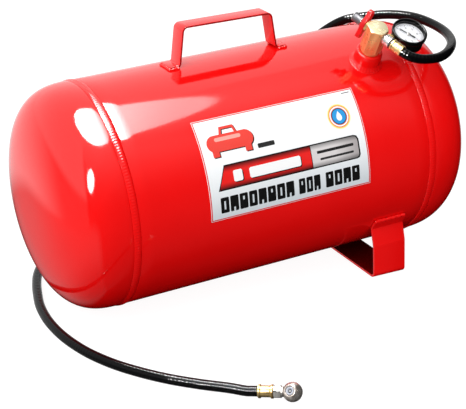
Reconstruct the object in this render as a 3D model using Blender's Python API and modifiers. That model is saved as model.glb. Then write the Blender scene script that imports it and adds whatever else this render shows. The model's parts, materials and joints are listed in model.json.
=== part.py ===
"""Portable air tank: welded steel vessel with strap handle, single strap foot, hex manifold with
shut-off valve, pressure gauge, fill valve and an inflation hose ending in a ball chuck."""
import math

import bmesh
import bpy
import numpy as np
from mathutils import Matrix, Vector

MM = 0.001
# ---- vessel ----
TANK_R = 132.0            # outer radius of the rolled shell
WALL = 1.9                # sheet thickness
HALF_STRAIGHT = 190.35    # centre to the start of a head's dome
HEAD_DEPTH = 77.5
HEAD_POWER = 2.83         # superellipse power of the dome section
SHELL_HALF = 186.0        # half length of the rolled shell
SKIRT_IN = 172.0          # head skirt reaches this far inside the shell
JOGGLE_A, JOGGLE_B = 190.3, 195.3
BEAD_CROWN = 133.0
SEG = 52                  # facets round the vessel
TILT = math.radians(2.233)   # the single foot lifts the right end
AXIS_H = 190.6 * math.sin(TILT) + BEAD_CROWN * math.cos(TILT) + 0.02
GAP = 0.3                 # clearance kept between touching pieces
# ---- handle strap ----
STRAP_T, STRAP_W = 2.3, 24.2
HANDLE_PATH = ((-87.0, 133.75), (-74.0, 133.75), (-67.0, 178.2), (45.2, 175.8), (50.4, 133.75), (62.6, 133.75))
HANDLE_BENDS = (4.0, 6.0, 6.0, 4.0)
# ---- foot strap ----
FOOT_X0, FOOT_X1, FOOT_T = 119.7, 163.5, 3.0
FOOT_PATH = ((-113.45, -71.2), (-107.05, -80.9), (-112.2, -103.0), (-112.2, -144.55),
             (112.2, -144.55), (112.2, -103.0), (107.05, -80.9), (113.45, -71.2))
FOOT_BENDS = (2.5, 9.0, 6.0, 6.0, 9.0, 2.5)
# ---- label ----
LABEL_X0, LABEL_X1, LABEL_A0, LABEL_A1, LABEL_T = -101.8, 103.1, -3.5, 46.5, 0.25
# ---- port and manifold ----
PORT_X, PORT_LEAN = 139.25, math.radians(30.07)
OUTLET_DIR = Vector((0.39153, -0.79633, -0.46105))   # hose outlet, tank axes
HEX_FLAT = 11.23          # half across flats
Z_HOSE, Z_GAUGE, Z_FILL = 179.58, 167.0, 160.0        # heights of the side ports above the tank axis
HEX_TOP, HEX_BOT = 187.94, 151.35
# ---- valve ----
BAR_TURN = math.radians(23.15)
DISC_LIFT = 1.5
# ---- gauge ----
GAUGE_OUT = 44.08         # gauge centre from the manifold axis
POINTER_ZERO = 50.0       # clockwise from the stem side
POINTER_SWEEP = 260.0
PINION_TEETH, SECTOR_TEETH, MODULE = 10, 60, 0.3
# ---- hose ----
HOSE_R = 5.6
OUTLET_LEN = 39.1         # manifold axis to the start of the hose
CHUCK_START = Vector((-131.2, -295.8, 7.45))
CHUCK_DIR = Vector((0.759, -0.643, 0.097)).normalized()
CHUCK_MOUTH = Vector((-0.695, -0.438, 0.571)).normalized()
BALL_R, BALL_OUT = 10.5, 36.4
HOSE_POINTS = (           # hose centreline between its two ferrules
    (156.1, -129.1, 279), (165.8, -133.3, 276.3), (177.4, -134.6, 275), (190, -133.6, 274.6), (206.4, -126.4, 276), (229.6, -102.5, 278.3), (243, -72.5, 280.6),
    (246.2, -39.5, 282.8), (241, -6.5, 284.2), (228.4, 24.5, 281.8), (210.4, 52, 275.6),
    (189, 76, 266.8), (168, 98.4, 246), (150.5, 116.8, 221.2), (136, 129.6, 193.6),
    (123, 136.8, 165), (111, 139, 135.5), (97, 140.6, 107), (79.5, 142.8, 80),
    (57, 145.8, 55.5), (29, 149, 35), (-4, 151.4, 19.8), (-39, 153, 10.5),
    (-75, 153.4, 6.7), (-111, 151.8, 5.8), (-145, 147, 5.8), (-175, 137.8, 5.8),
    (-201, 122, 5.8), (-221, 101.5, 5.8), (-234.5, 79.1, 5.8), (-245, 53.6, 5.8),
    (-253.3, 27.6, 5.8), (-260.2, 2, 5.8), (-264.6, -26, 5.8), (-266.1, -54.3, 5.8),
    (-264, -88, 5.8), (-257.2, -122.9, 5.8), (-249.1, -147.5, 5.8), (-237, -174, 5.8),
    (-218.6, -203.4, 5.8), (-199.7, -227.8, 5.8), (-176.6, -252.1, 5.9), (-153, -274.6, 6.3))

for ob in list(bpy.data.objects):
    bpy.data.objects.remove(ob, do_unlink=True)
scene = bpy.context.scene
parts = bpy.data.collections.new("air_receiver_tank")
cutters = bpy.data.collections.new("cutters")
scene.collection.children.link(parts)
scene.collection.children.link(cutters)


def material(name, color, metal, rough):
    m = bpy.data.materials.new(name)
    m.use_nodes = True
    b = m.node_tree.nodes["Principled BSDF"]
    b.inputs["Base Color"].default_value = (*color, 1.0)
    b.inputs["Metallic"].default_value = metal
    b.inputs["Roughness"].default_value = rough
    m.diffuse_color = (*color, 1.0)
    return m


RED = ((0.62, 0.02, 0.02), 0.0, 0.15)
BRASS = ((0.80, 0.52, 0.25), 1.0, 0.25)
NICKEL = ((0.62, 0.60, 0.57), 1.0, 0.25)
STEEL = ((0.55, 0.55, 0.55), 1.0, 0.35)
BLACK = ((0.02, 0.02, 0.02), 0.0, 0.4)
WHITE = ((0.85, 0.85, 0.85), 0.0, 0.4)
RUBBER = ((0.015, 0.015, 0.015), 0.0, 0.7)
PLASTIC_RED = ((0.6, 0.02, 0.02), 0.0, 0.3)
GLASS = ((0.9, 0.95, 0.95), 0.0, 0.05)

# ---- frames ----
TANK = Matrix.Translation((0, 0, AXIS_H)) @ Matrix.Rotation(-TILT, 4, "Y")


def frame(origin, zdir, xhint):
    """Frame in mm with local Z along zdir and local X as near xhint as it goes."""
    z = Vector(zdir).normalized()
    x = (Vector(xhint) - z * Vector(xhint).dot(z)).normalized()
    y = z.cross(x)
    m = Matrix((x, y, z)).transposed().to_4x4()
    m.translation = Vector(origin)
    return m


AXIS_A = Vector((0, -math.sin(PORT_LEAN), math.cos(PORT_LEAN)))     # port axis, outward
H = (OUTLET_DIR - AXIS_A * OUTLET_DIR.dot(AXIS_A)).normalized()
T = AXIS_A.cross(H)
G = H * 0.5 + T * (math.sqrt(3) / 2)          # gauge side
F = H * -0.5 + T * (math.sqrt(3) / 2)         # fill valve side
O = Vector((PORT_X, 0, 0))
PORT = TANK @ frame(O, AXIS_A, H)
OUTLET = TANK @ frame(O + AXIS_A * Z_HOSE, H, AXIS_A)
VALVE = TANK @ frame(O + AXIS_A * Z_HOSE, -H, AXIS_A * math.cos(BAR_TURN) + T * math.sin(BAR_TURN))
GSTEM = TANK @ frame(O + AXIS_A * Z_GAUGE, G, AXIS_A)
FILL = TANK @ frame(O + AXIS_A * Z_FILL, F, AXIS_A)
GAUGE = TANK @ frame(O + AXIS_A * Z_GAUGE + G * GAUGE_OUT, AXIS_A, G.cross(AXIS_A))   # local Y away from the stem
CHUCK = frame(CHUCK_START, CHUCK_DIR, (0, 0, 1))
BALL = frame(CHUCK_START + CHUCK_DIR * BALL_OUT, CHUCK_MOUTH, CHUCK_DIR)
RIGHT = TANK @ frame((0, 0, 0), (1, 0, 0), (0, 0, -1))
LEFT = TANK @ frame((0, 0, 0), (-1, 0, 0), (0, 0, -1))


# ---- shape helpers: lengths in mm ----
def finish_mesh(name, bm, mat, m4, coll=None, bevel=0.0, smooth=True):
    bmesh.ops.remove_doubles(bm, verts=bm.verts, dist=1e-7)
    bmesh.ops.recalc_face_normals(bm, faces=bm.faces)
    me = bpy.data.meshes.new(name)
    bm.to_mesh(me)
    bm.free()
    ob = bpy.data.objects.new(name, me)
    (coll or parts).objects.link(ob)
    m = m4.copy()
    m.translation = m4.translation * MM
    ob.matrix_world = m
    if coll is None:
        me.materials.append(material(name, *mat))
        if smooth:
            me.shade_smooth()
            me.set_sharp_from_angle(angle=math.radians(32))
    if bevel:
        mod = ob.modifiers.new("Bevel", "BEVEL")
        mod.width = bevel * MM
        mod.segments = 2
        mod.limit_method = "ANGLE"
        mod.angle_limit = math.radians(50)
    return ob


def turned(name, profile, mat, m4, seg=32, coll=None, phase=0.0):
    """Solid of revolution about local Z from (radius, z) points; radius 0 ends close it on the axis."""
    bm = bmesh.new()
    rings = []
    for r, z in profile:
        if r < 1e-6:
            rings.append([bm.verts.new((0, 0, z * MM))])
        else:
            rings.append([bm.verts.new((r * math.cos(phase + 2 * math.pi * i / seg) * MM,
                                        r * math.sin(phase + 2 * math.pi * i / seg) * MM, z * MM)) for i in range(seg)])
    n = len(rings)
    closed = len(rings[0]) > 1 and len(rings[-1]) > 1
    for k in range(n if closed else n - 1):
        a, b = rings[k], rings[(k + 1) % n]
        for i in range(seg):
            j = (i + 1) % seg
            if len(a) == 1 and len(b) == 1:
                continue
            if len(a) == 1:
                bm.faces.new((a[0], b[i], b[j]))
            elif len(b) == 1:
                bm.faces.new((a[i], b[0], a[j]))
            else:
                bm.faces.new((a[i], b[i], b[j], a[j]))
    return finish_mesh(name, bm, mat, m4, coll)


def loft(name, rings, mat, m4, coll=None, loop=False, bevel=0.0):
    """Skin through equal-length closed sections; capped at both ends unless the run closes on itself."""
    bm = bmesh.new()
    vs = [[bm.verts.new(Vector(p) * MM) for p in ring] for ring in rings]
    n, k = len(vs), len(vs[0])
    for a in range(n if loop else n - 1):
        for i in range(k):
            j = (i + 1) % k
            bm.faces.new((vs[a][i], vs[a][j], vs[(a + 1) % n][j], vs[(a + 1) % n][i]))
    if not loop:
        bm.faces.new(vs[0])
        bm.faces.new(list(reversed(vs[-1])))
    return finish_mesh(name, bm, mat, m4, coll, bevel)


def prism(name, outline, z0, z1, mat, m4, coll=None, bevel=0.0):
    return loft(name, [[(x, y, z0) for x, y in outline], [(x, y, z1) for x, y in outline]], mat, m4, coll, False, bevel)


def circle(r, n, cx=0.0, cy=0.0, a0=0.0, a1=360.0):
    full = abs(a1 - a0) >= 359.9
    return [(cx + r * math.cos(math.radians(a0 + (a1 - a0) * i / (n if full else n - 1))),
             cy + r * math.sin(math.radians(a0 + (a1 - a0) * i / (n if full else n - 1)))) for i in range(n)]


def cut(ob, cutter, op="DIFFERENCE"):
    cutter.hide_render = True
    cutter.display_type = "WIRE"
    mod = ob.modifiers.new("Cut", "BOOLEAN")
    mod.operation = op
    mod.solver = "EXACT"
    mod.object = cutter


def rod_cutter(name, m4, r, z0, z1, seg=20):
    return turned(name, [(0, z0), (r, z0), (r, z1), (0, z1)], None, m4, seg, cutters)


def rounded(path, radii, steps=5):
    """Polyline with its inner corners rounded."""
    out = [Vector(path[0])]
    for k in range(1, len(path) - 1):
        p, a, b = Vector(path[k]), Vector(path[k - 1]), Vector(path[k + 1])
        u, v = (a - p).normalized(), (b - p).normalized()
        half = math.acos(max(-1.0, min(1.0, u.dot(v)))) / 2
        d = radii[k - 1] / math.tan(half)
        c = p + (u + v).normalized() * (radii[k - 1] / math.sin(half))
        s, e = p + u * d - c, p + v * d - c
        sweep = s.angle_signed(e) if hasattr(s, "angle_signed") else 0.0
        for i in range(steps + 1):
            w = -sweep * i / steps
            out.append(c + Vector((s.x * math.cos(w) - s.y * math.sin(w), s.x * math.sin(w) + s.y * math.cos(w))))
    out.append(Vector(path[-1]))
    return out


def strap_outline(path, t):
    left, right = [], []
    for k, p in enumerate(path):
        d1 = (path[k] - path[k - 1]).normalized() if k else (path[1] - path[0]).normalized()
        d2 = (path[k + 1] - path[k]).normalized() if k < len(path) - 1 else d1
        n1, n2 = Vector((-d1.y, d1.x)), Vector((-d2.y, d2.x))
        n = (n1 + n2).normalized()
        n = n / max(0.3, n.dot(n1))
        left.append(p + n * (t / 2))
        right.append(p - n * (t / 2))
    return left + right[::-1]


def smooth_path(points, step):
    """Centripetal Catmull-Rom through the points, resampled at an even step."""
    p = [np.array(q, float) for q in points]
    p = [2 * p[0] - p[1]] + p + [2 * p[-1] - p[-2]]
    dense = []
    for i in range(1, len(p) - 2):
        t = [0.0]
        for k in range(3):
            t.append(t[-1] + max(1e-6, np.linalg.norm(p[i + k] - p[i + k - 1])) ** 0.5)
        for s in np.linspace(t[1], t[2], 12, endpoint=False):
            a1 = (t[1] - s) / (t[1] - t[0]) * p[i - 1] + (s - t[0]) / (t[1] - t[0]) * p[i]
            a2 = (t[2] - s) / (t[2] - t[1]) * p[i] + (s - t[1]) / (t[2] - t[1]) * p[i + 1]
            a3 = (t[3] - s) / (t[3] - t[2]) * p[i + 1] + (s - t[2]) / (t[3] - t[2]) * p[i + 2]
            b1 = (t[2] - s) / (t[2] - t[0]) * a1 + (s - t[0]) / (t[2] - t[0]) * a2
            b2 = (t[3] - s) / (t[3] - t[1]) * a2 + (s - t[1]) / (t[3] - t[1]) * a3
            dense.append((t[2] - s) / (t[2] - t[1]) * b1 + (s - t[1]) / (t[2] - t[1]) * b2)
    dense.append(p[-2])
    dense = np.array(dense)
    s = np.r_[0, np.cumsum(np.linalg.norm(np.diff(dense, axis=0), axis=1))]
    n = max(2, int(round(s[-1] / step)))
    q = np.linspace(0, s[-1], n + 1)
    return np.stack([np.interp(q, s, dense[:, k]) for k in range(3)], 1)


# ================= vessel =================
shell = turned("tank_shell", [(TANK_R, SHELL_HALF), (TANK_R, -SHELL_HALF), (TANK_R - WALL, -SHELL_HALF),
                              (TANK_R - WALL, SHELL_HALF)], RED, RIGHT, SEG)
cut(shell, rod_cutter("cut_shell_port", PORT, 16.4, 110, 150, 32))


def dome(radius, depth, n, t0=0.0):
    out = []
    for i in range(n + 1):
        t = t0 + (math.pi / 2 - t0) * i / n
        out.append((radius * math.sin(t) ** (2 / HEAD_POWER), HALF_STRAIGHT + depth * max(0.0, math.cos(t)) ** (2 / HEAD_POWER)))
    return out


outer = [p for p in dome(TANK_R, HEAD_DEPTH, 10) if p[1] > JOGGLE_B + 1.0] + [(TANK_R, JOGGLE_B)]
outer[0] = (0.0, HALF_STRAIGHT + HEAD_DEPTH)
inner_r = TANK_R - WALL - GAP - WALL
inner = [p for p in dome(inner_r, HEAD_DEPTH - WALL, 5)]
inner[0] = (0.0, HALF_STRAIGHT + HEAD_DEPTH - WALL)
head_profile = outer + [(TANK_R - WALL - GAP, JOGGLE_A), (TANK_R - WALL - GAP, SKIRT_IN), (inner_r, SKIRT_IN)] + inner[::-1]
bead_profile = [(130.1, 186.3), (130.1, 189.9), (132.3, 194.9), (132.75, 193.2), (BEAD_CROWN, 190.6), (132.75, 188.1), (132.1, 186.3)]
for side, m in (("left", LEFT), ("right", RIGHT)):
    turned("head_" + side, head_profile, RED, m, SEG)
    turned("weld_ring_" + side, bead_profile, RED, m, SEG)

# rolled seam bead along the underside, behind the centre line
seam = []
for x in (-184.0, 184.0):
    ring = []
    for off, rad in ((-3.4, 132.35), (-2.0, 132.9), (0.0, 133.1), (2.0, 132.9), (3.4, 132.35), (0.0, 132.3)):
        a = math.radians(-72.5) + off / TANK_R
        ring.append((x, rad * math.cos(a), rad * math.sin(a)))
    seam.append(ring)
loft("shell_seam_weld", seam, RED, TANK)

# ================= handle =================
hp = rounded(HANDLE_PATH, HANDLE_BENDS)
ho = strap_outline(hp, STRAP_T)
loft("carry_handle", [[(p.x, y, p.y) for p in ho] for y in (-STRAP_W / 2, STRAP_W / 2)], RED, TANK, bevel=0.35)
for side, x_tip, sgn in (("left", -87.0, -1), ("right", 62.6, 1)):
    rings = []
    for y in (-12.6, -12.0, -6.0, 0.0, 6.0, 12.0, 12.6):
        zs = math.sqrt((TANK_R + 0.35) ** 2 - y * y)
        k = 0.55 if abs(y) > 12.3 else 1.0
        x0 = x_tip + sgn * 0.35
        rings.append([(x0, y, zs), (x0 + sgn * 4.2 * k, y, zs), (x0 + sgn * 3.0 * k, y, zs + 1.0 * k),
                      (x0 + sgn * 1.4 * k, y, zs + 2.0 * k), (x0, y, zs + 2.5 * k)])
    loft("handle_weld_" + side, rings, RED, TANK)

# ================= foot =================
fp = rounded(FOOT_PATH, FOOT_BENDS)
fo = strap_outline(fp, FOOT_T)
lvl = math.tan(TILT)
xc = (FOOT_X0 + FOOT_X1) / 2
base = AXIS_H + math.sin(TILT) * xc + math.cos(TILT) * (-144.55 - FOOT_T / 2)
rings = []
for x in (FOOT_X0, FOOT_X1):
    rings.append([(x, p.x, p.y - ((x - xc) * lvl + base / math.cos(TILT) if p.y < -106 else 0.0)) for p in fo])
loft("foot_bracket", rings, RED, TANK, bevel=0.0)
for side, s in (("front", -1), ("back", 1)):
    sec = [(112.5, -70.0), (114.95, -71.6), (116.1, -69.7), (115.95, -67.7), (114.95, -65.9), (113.9, -67.75)]
    loft("foot_weld_" + side, [[(x, s * y, z) for y, z in sec] for x in (FOOT_X0 + 1.5, FOOT_X1 - 1.5)], RED, TANK)

# ================= label =================
rings = []
for i in range(21):
    a = math.radians(LABEL_A0 + (LABEL_A1 - LABEL_A0) * i / 20)
    c, s_ = -math.cos(a), math.sin(a)
    r0, r1 = TANK_R + 0.3, TANK_R + 0.3 + LABEL_T
    rings.append([(LABEL_X0, r0 * c, r0 * s_), (LABEL_X1, r0 * c, r0 * s_), (LABEL_X1, r1 * c, r1 * s_), (LABEL_X0, r1 * c, r1 * s_)])
loft("label_decal", rings, WHITE, TANK)

# ================= port boss and manifold =================
turned("port_boss", [(16.0, 127), (16.0, 146), (15.3, 149.6), (14.3, 151.0), (10.4, 151.0), (10.4, 127)], RED, PORT, 40)
rings = []
for i in range(40):
    a = 2 * math.pi * i / 40
    ring = []
    for rho, dz, f_ in ((16.3, 0.4, 1), (19.6, 0.4, 1), (19.2, 1.2, 1), (18.1, 2.6, 1), (17.1, 4.2, 1), (16.3, 5.8, 1)):
        zs = math.sqrt(TANK_R ** 2 - (rho * math.sin(a)) ** 2) + (0.15 if rho > 19.4 else 0)
        ring.append((rho * math.cos(a), rho * math.sin(a), zs + dz))
    rings.append(ring)
m_port_x = TANK @ frame(O, AXIS_A, (1, 0, 0))
loft("boss_weld", rings, RED, m_port_x, loop=True)

hexo = [(HEX_FLAT / math.cos(math.pi / 6) * math.cos(math.radians(30 + 60 * i)),
         HEX_FLAT / math.cos(math.pi / 6) * math.sin(math.radians(30 + 60 * i))) for i in range(6)]
manifold = prism("manifold", hexo, 150.0, 188.5, BRASS, PORT)
cut(manifold, turned("cut_manifold_env", [(0, HEX_TOP), (11.35, HEX_TOP), (13.3, HEX_TOP - 1.0), (13.3, 154.6), (11.4, 153.6),
                                          (11.4, HEX_BOT), (0, HEX_BOT)], None, PORT, 30, cutters), "INTERSECT")
cut(manifold, turned("add_manifold_shank", [(0, 151.9), (10.1, 151.9), (10.1, 131.0), (9.2, 130.0), (0, 130.0)], None, PORT, 28, cutters), "UNION")
cut(manifold, rod_cutter("cut_bore_main", PORT, 5.0, 125.0, 183.6))
cut(manifold, rod_cutter("cut_bore_hose", OUTLET, 5.3, 0.0, 14.0))
cut(manifold, rod_cutter("cut_bore_valve", VALVE, 4.5, 0.0, 14.0))
cut(manifold, rod_cutter("cut_bore_gauge", GSTEM, 4.5, 0.0, 14.0))
cut(manifold, rod_cutter("cut_bore_fill", FILL, 4.0, 0.0, 14.0))

# ---- shut-off valve ----
nut6 = [(7.4 * math.cos(math.radians(60 * i)), 7.4 * math.sin(math.radians(60 * i))) for i in range(6)]
nut = prism("valve_packing_nut", nut6, 11.55, 14.1, BRASS, VALVE)
cut(nut, turned("add_nut_shank", [(0, 12.0), (4.2, 12.0), (4.2, 5.3), (0, 5.3)], None, VALVE, 24, cutters), "UNION")
cut(nut, rod_cutter("cut_nut_bore", VALVE, 2.57, 0, 20))
turned("valve_stem", [(0, -1.8), (1.9, -1.8), (2.5, -1.2), (2.5, 28.6), (2.1, 29.0), (0, 29.0)], STEEL, VALVE, 24)
turned("valve_disc", [(0, -3.3), (3.0, -3.3), (3.2, -3.1), (3.2, -2.1), (0, -2.1)], RUBBER, VALVE, 24)
half, w0, w1 = 18.6, 5.6, 3.9
bar = []
for s1, s2 in ((1, 1), (-1, 1), (-1, -1), (1, -1)):
    seq = [(half, 0.9), (half - 0.5, 2.2), (half - 1.8, w1), (9.0, w1 + 0.25), (5.2, w0), (2.0, w0 + 0.6)]
    seq = [(x * s1, y * s2) for x, y in seq]
    bar += seq if s1 * s2 > 0 else seq[::-1]
handle_bar = prism("valve_t_handle", bar, 14.45, 20.9, PLASTIC_RED, VALVE, bevel=0.9)
cut(handle_bar, rod_cutter("cut_bar_bore", VALVE, 2.8, 0, 30))
turned("valve_cap_nut", [(5.3, 21.2), (5.75, 21.6), (5.75, 33.2), (5.1, 34.0), (0, 34.0), (0, 29.4), (2.8, 29.4), (2.8, 21.2)], NICKEL, VALVE, 32)

# ---- hose outlet ----

turned("outlet_nipple", [(5.0, 3.6), (5.0, 11.2), (4.6, 11.4), (4.6, 11.6), (5.6, 11.6), (5.6, 12.5), (6.5, 13.0), (6.5, 21.3), (6.1, 21.7),
                         (2.9, 21.7), (2.9, 38.4), (1.8, 38.4), (1.8, 3.6)], NICKEL, OUTLET, 20)
turned("outlet_ring", [(6.3, 22.0), (6.5, 22.3), (6.5, 22.9), (6.3, 23.1), (3.2, 23.1), (3.2, 22.0)], RUBBER, OUTLET, 24)
ferrule = [(6.5, 0.0), (6.95, 0.4), (6.95, 2.6), (6.45, 3.2), (6.45, 6.6), (6.75, 7.1), (6.75, 8.3), (6.45, 8.8), (6.45, 12.2), (6.9, 12.8),
           (6.9, 15.0), (6.4, 15.5)]
turned("outlet_ferrule", [(r, 23.4 + z) for r, z in ferrule] + [(3.2, 38.9 - 0.05), (3.2, 23.4)], BRASS, OUTLET, 24)

# ---- hose ----
start = OUTLET @ Vector((0, 0, OUTLET_LEN + 0.1))
lead = OUTLET @ Vector((0, 0, OUTLET_LEN + 11.0))
tail = CHUCK_START - CHUCK_DIR * 0.3
pre = CHUCK_START - CHUCK_DIR * 12.0
route = [start] + list(smooth_path([start + (lead - start) * 0.35] + list(HOSE_POINTS) + [pre, tail - CHUCK_DIR * 7.0], 20.0)) + [tail]
cu = bpy.data.curves.new("air_hose", "CURVE")
cu.dimensions = "3D"
cu.bevel_depth = HOSE_R * MM
cu.bevel_resolution = 2
cu.use_fill_caps = True
cu.resolution_u = 1
sp = cu.splines.new("POLY")
sp.points.add(len(route) - 1)
for k, p in enumerate(route):
    sp.points[k].co = (p[0] * MM, p[1] * MM, p[2] * MM, 1.0)
tmp = bpy.data.objects.new("air_hose_curve", cu)
cutters.objects.link(tmp)
bpy.context.view_layer.update()
dg = bpy.context.evaluated_depsgraph_get()
me = bpy.data.meshes.new_from_object(tmp.evaluated_get(dg))
bpy.data.objects.remove(tmp, do_unlink=True)
bm = bmesh.new()
bm.from_mesh(me)
bmesh.ops.remove_doubles(bm, verts=bm.verts, dist=1e-6)
finish_mesh("air_hose", bm, RUBBER, Matrix.Identity(4))

# ---- ball chuck ----
turned("chuck_ferrule", [(6.8, 0.3), (7.35, 0.8), (7.35, 2.6), (6.15, 3.3), (6.15, 13.4), (7.35, 14.2), (7.35, 16.2), (6.8, 16.7), (2.9, 16.7), (2.9, 0.3)],
       BRASS, CHUCK, 24)
neck6 = [(7.3 * math.cos(math.radians(60 * i)), 7.3 * math.sin(math.radians(60 * i))) for i in range(6)]
neck = prism("chuck_neck", neck6, 17.0, 25.0, NICKEL, CHUCK, bevel=0.4)
cut(neck, turned("add_neck_barb", [(0, 26.8), (5.4, 26.8), (5.4, 24.6), (5.4, 18.0), (2.6, 18.0), (2.6, 0.9), (0, 0.9)], None, CHUCK, 32, cutters), "UNION")
cut(neck, rod_cutter("cut_neck_bore", CHUCK, 1.6, 0, 30))
ballp = []
for i in range(15):
    a = math.radians(90 - 180 * i / 14)
    ballp.append((BALL_R * math.cos(a), BALL_R * math.sin(a)))
top = 8.4
rt = math.sqrt(BALL_R ** 2 - top ** 2)
prof = [(0, -9.7), (math.sqrt(BALL_R ** 2 - 9.7 ** 2), -9.7)] + [p for p in ballp[::-1] if -9.6 < p[1] < top - 0.6] + [(rt, top), (4.6, top), (4.6, -1.0), (1.9, -1.6), (1.9, -6.0), (0, -6.0)]
ball = turned("chuck_ball", prof, NICKEL, BALL, 26)
cut(ball, turned("cut_ball_flat", [(0, 9.25), (12, 9.25), (12, 20), (0, 20)], None, frame(CHUCK_START + CHUCK_DIR * BALL_OUT, -CHUCK_DIR, (0, 0, 1)), 24, cutters))
turned("chuck_seal", [(4.3, 8.2), (4.3, 3.6), (2.0, 3.6), (2.0, 7.4), (2.6, 8.2)], RUBBER, BALL, 32)
turned("chuck_pin", [(0, 7.0), (0.9, 7.0), (1.2, 6.7), (1.2, 1.4), (3.4, 1.4), (3.4, 0.6), (1.2, 0.6), (1.2, -3.6), (0, -3.6)], BRASS, BALL, 20)

# ================= gauge =================
case = turned("gauge_case", [(0, -9.3), (17.6, -9.3), (19.4, -8.2), (19.6, -7.6), (19.6, 7.5), (18.5, 7.5), (18.5, -8.0), (17.2, -8.3), (0, -8.3)],
              BLACK, GAUGE, 40)
gs_in = GAUGE_OUT
cut(case, rod_cutter("cut_case_stem", GSTEM, 4.75, 20.0, 30.0, 24))
turned("gauge_bezel", [(19.9, 4.9), (20.7, 4.9), (20.98, 5.3), (20.98, 9.4), (20.5, 10.0), (19.6, 10.18), (18.3, 9.8), (18.0, 9.45), (19.9, 9.45)],
       BLACK, GAUGE, 40)
turned("gauge_window", [(0, 9.1), (19.5, 9.1), (19.5, 7.85), (0, 7.85)], GLASS, GAUGE, 40)
dial = turned("gauge_dial", [(1.4, 3.4), (18.2, 3.4), (18.2, 2.9), (1.4, 2.9)], WHITE, GAUGE, 40)
za = math.radians(-90 - POINTER_ZERO)
pdir = Vector((math.cos(za), math.sin(za)))
pn = Vector((-pdir.y, pdir.x))


def pt(l, w):
    q = pdir * l + pn * w
    return (q.x, q.y)


pointer = prism("gauge_pointer", [pt(12.9, 0), pt(11.6, 0.38), pt(1.6, 0.6), pt(-1.6, 0.7), pt(-8.3, 1.0), pt(-8.8, 0.6), pt(-8.8, -0.6), pt(-8.3, -1.0), pt(-1.6, -0.7), pt(1.6, -0.6), pt(11.6, -0.38)],
                4.6, 5.0, BLACK, GAUGE)
cut(pointer, turned("add_pointer_hub", [(0, 5.5), (2.0, 5.5), (2.2, 5.3), (2.2, 4.2), (0.62, 4.2), (0.62, 1.55), (0, 1.55)], None, GAUGE, 24, cutters), "UNION")


def gear(teeth, module, n_teeth_used=None, a_mid=0.0, width=0.34):
    """Outline points of a spur gear with slim straight-flanked teeth."""
    rp = module * teeth / 2
    ro, ri = rp + module * 0.9, rp - module * 1.15
    pitch = 2 * math.pi / teeth
    out = []
    ks = range(teeth) if n_teeth_used is None else [k - (n_teeth_used - 1) / 2 for k in range(n_teeth_used)]
    for k in ks:
        a = a_mid + k * pitch
        hw_r, hw_t = pitch * width / 2 * 1.5, pitch * width / 2 * 0.7
        for ang, rr in ((a - hw_r, ri), (a - hw_t, ro), (a + hw_t, ro), (a + hw_r, ri)):
            out.append((rr * math.cos(ang), rr * math.sin(ang)))
    return out


# arbor and pinion turn with the pointer; the sector's pivot is to the right of the centre
r1, r2 = MODULE * PINION_TEETH / 2, MODULE * SECTOR_TEETH / 2
PIVOT_X = r1 + r2
half_swing = POINTER_SWEEP / 2 * PINION_TEETH / SECTOR_TEETH
pin_pitch = 2 * math.pi / PINION_TEETH
pinion = prism("gauge_pinion", gear(PINION_TEETH, MODULE, None, pin_pitch / 2), 0.2, 1.3, BRASS, GAUGE)
cut(pinion, turned("add_pinion_arbor", [(0, 1.25), (0.62, 1.25), (0.62, -5.0), (0, -5.0)], None, GAUGE, 16, cutters), "UNION")
SECT = GAUGE @ Matrix.Translation((PIVOT_X, 0, 0))
n_t = 13
# at zero pressure the sector stands at one end of its swing
n_off = round(math.radians(half_swing) / (2 * math.pi / SECTOR_TEETH))
a_mid = math.pi - n_off * 2 * math.pi / SECTOR_TEETH
teeth = gear(SECTOR_TEETH, MODULE, n_t, a_mid)
hub = [(1.7 * math.cos(a_mid + math.radians(d)), 1.7 * math.sin(a_mid + math.radians(d))) for d in (80, 110)]
tail_a = a_mid + math.pi
tailp = [(4.6 * math.cos(tail_a + math.radians(d)), 4.6 * math.sin(tail_a + math.radians(d))) for d in (-14, 14)]
hub2 = [(1.7 * math.cos(a_mid + math.radians(d)), 1.7 * math.sin(a_mid + math.radians(d))) for d in (-110, -80)]
sector = prism("gauge_sector", teeth + hub + tailp + hub2, 0.35, 1.15, BRASS, SECT)
cut(sector, rod_cutter("cut_sector_pivot", SECT, 0.75, -3, 3, 16))
TAIL = Vector((PIVOT_X, 0, 0)) + Vector((math.cos(tail_a), math.sin(tail_a), 0)) * 3.6
plate_o = [(-6.5, -8.6), (6.5, -8.6), (13.4, -4.2), (13.4, 4.0), (6.0, 6.0), (-6.5, 6.0)]
plate = prism("gauge_movement_plate", plate_o, -5.2, -4.2, BRASS, GAUGE)
cut(plate, rod_cutter("cut_plate_arbor", GAUGE, 0.68, -9, -1, 16))
cut(plate, turned("add_plate_pivot", [(0, -4.6), (1.6, -4.6), (1.6, -0.1), (0.68, -0.1), (0.68, 1.9), (0, 1.9)], None, SECT, 16, cutters), "UNION")
# link between the sector's tail and the tube's free end
TIP_A = math.radians(28)
TUBE_R = 15.6
TIP = Vector((TUBE_R * math.cos(TIP_A), TUBE_R * math.sin(TIP_A), 0))
ld = (TIP - TAIL)
ll = ld.length
ld.normalize()
LINK = GAUGE @ frame(TAIL, (0, 0, 1), ld)
link = prism("gauge_link", circle(1.0, 10, 0, 0, 90, 270) + circle(1.0, 10, ll, 0, -90, 90), -0.75, 0.0, BRASS, LINK)
n_b = 26
a0, a1 = math.radians(-90 - 22), TIP_A - 2 * math.pi
rings = []
for i in range(n_b):
    a = a0 + (a1 - a0) * i / (n_b - 1)
    rings.append([((TUBE_R + dr) * math.cos(a), (TUBE_R + dr) * math.sin(a), z) for dr, z in
                  ((-0.9, -3.2), (-0.9, -1.9), (-0.35, -1.3), (0.35, -1.3), (0.9, -1.9), (0.9, -3.2), (0.35, -3.8), (-0.35, -3.8))])
loft("gauge_bourdon_tube", rings, BRASS, GAUGE)
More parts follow.
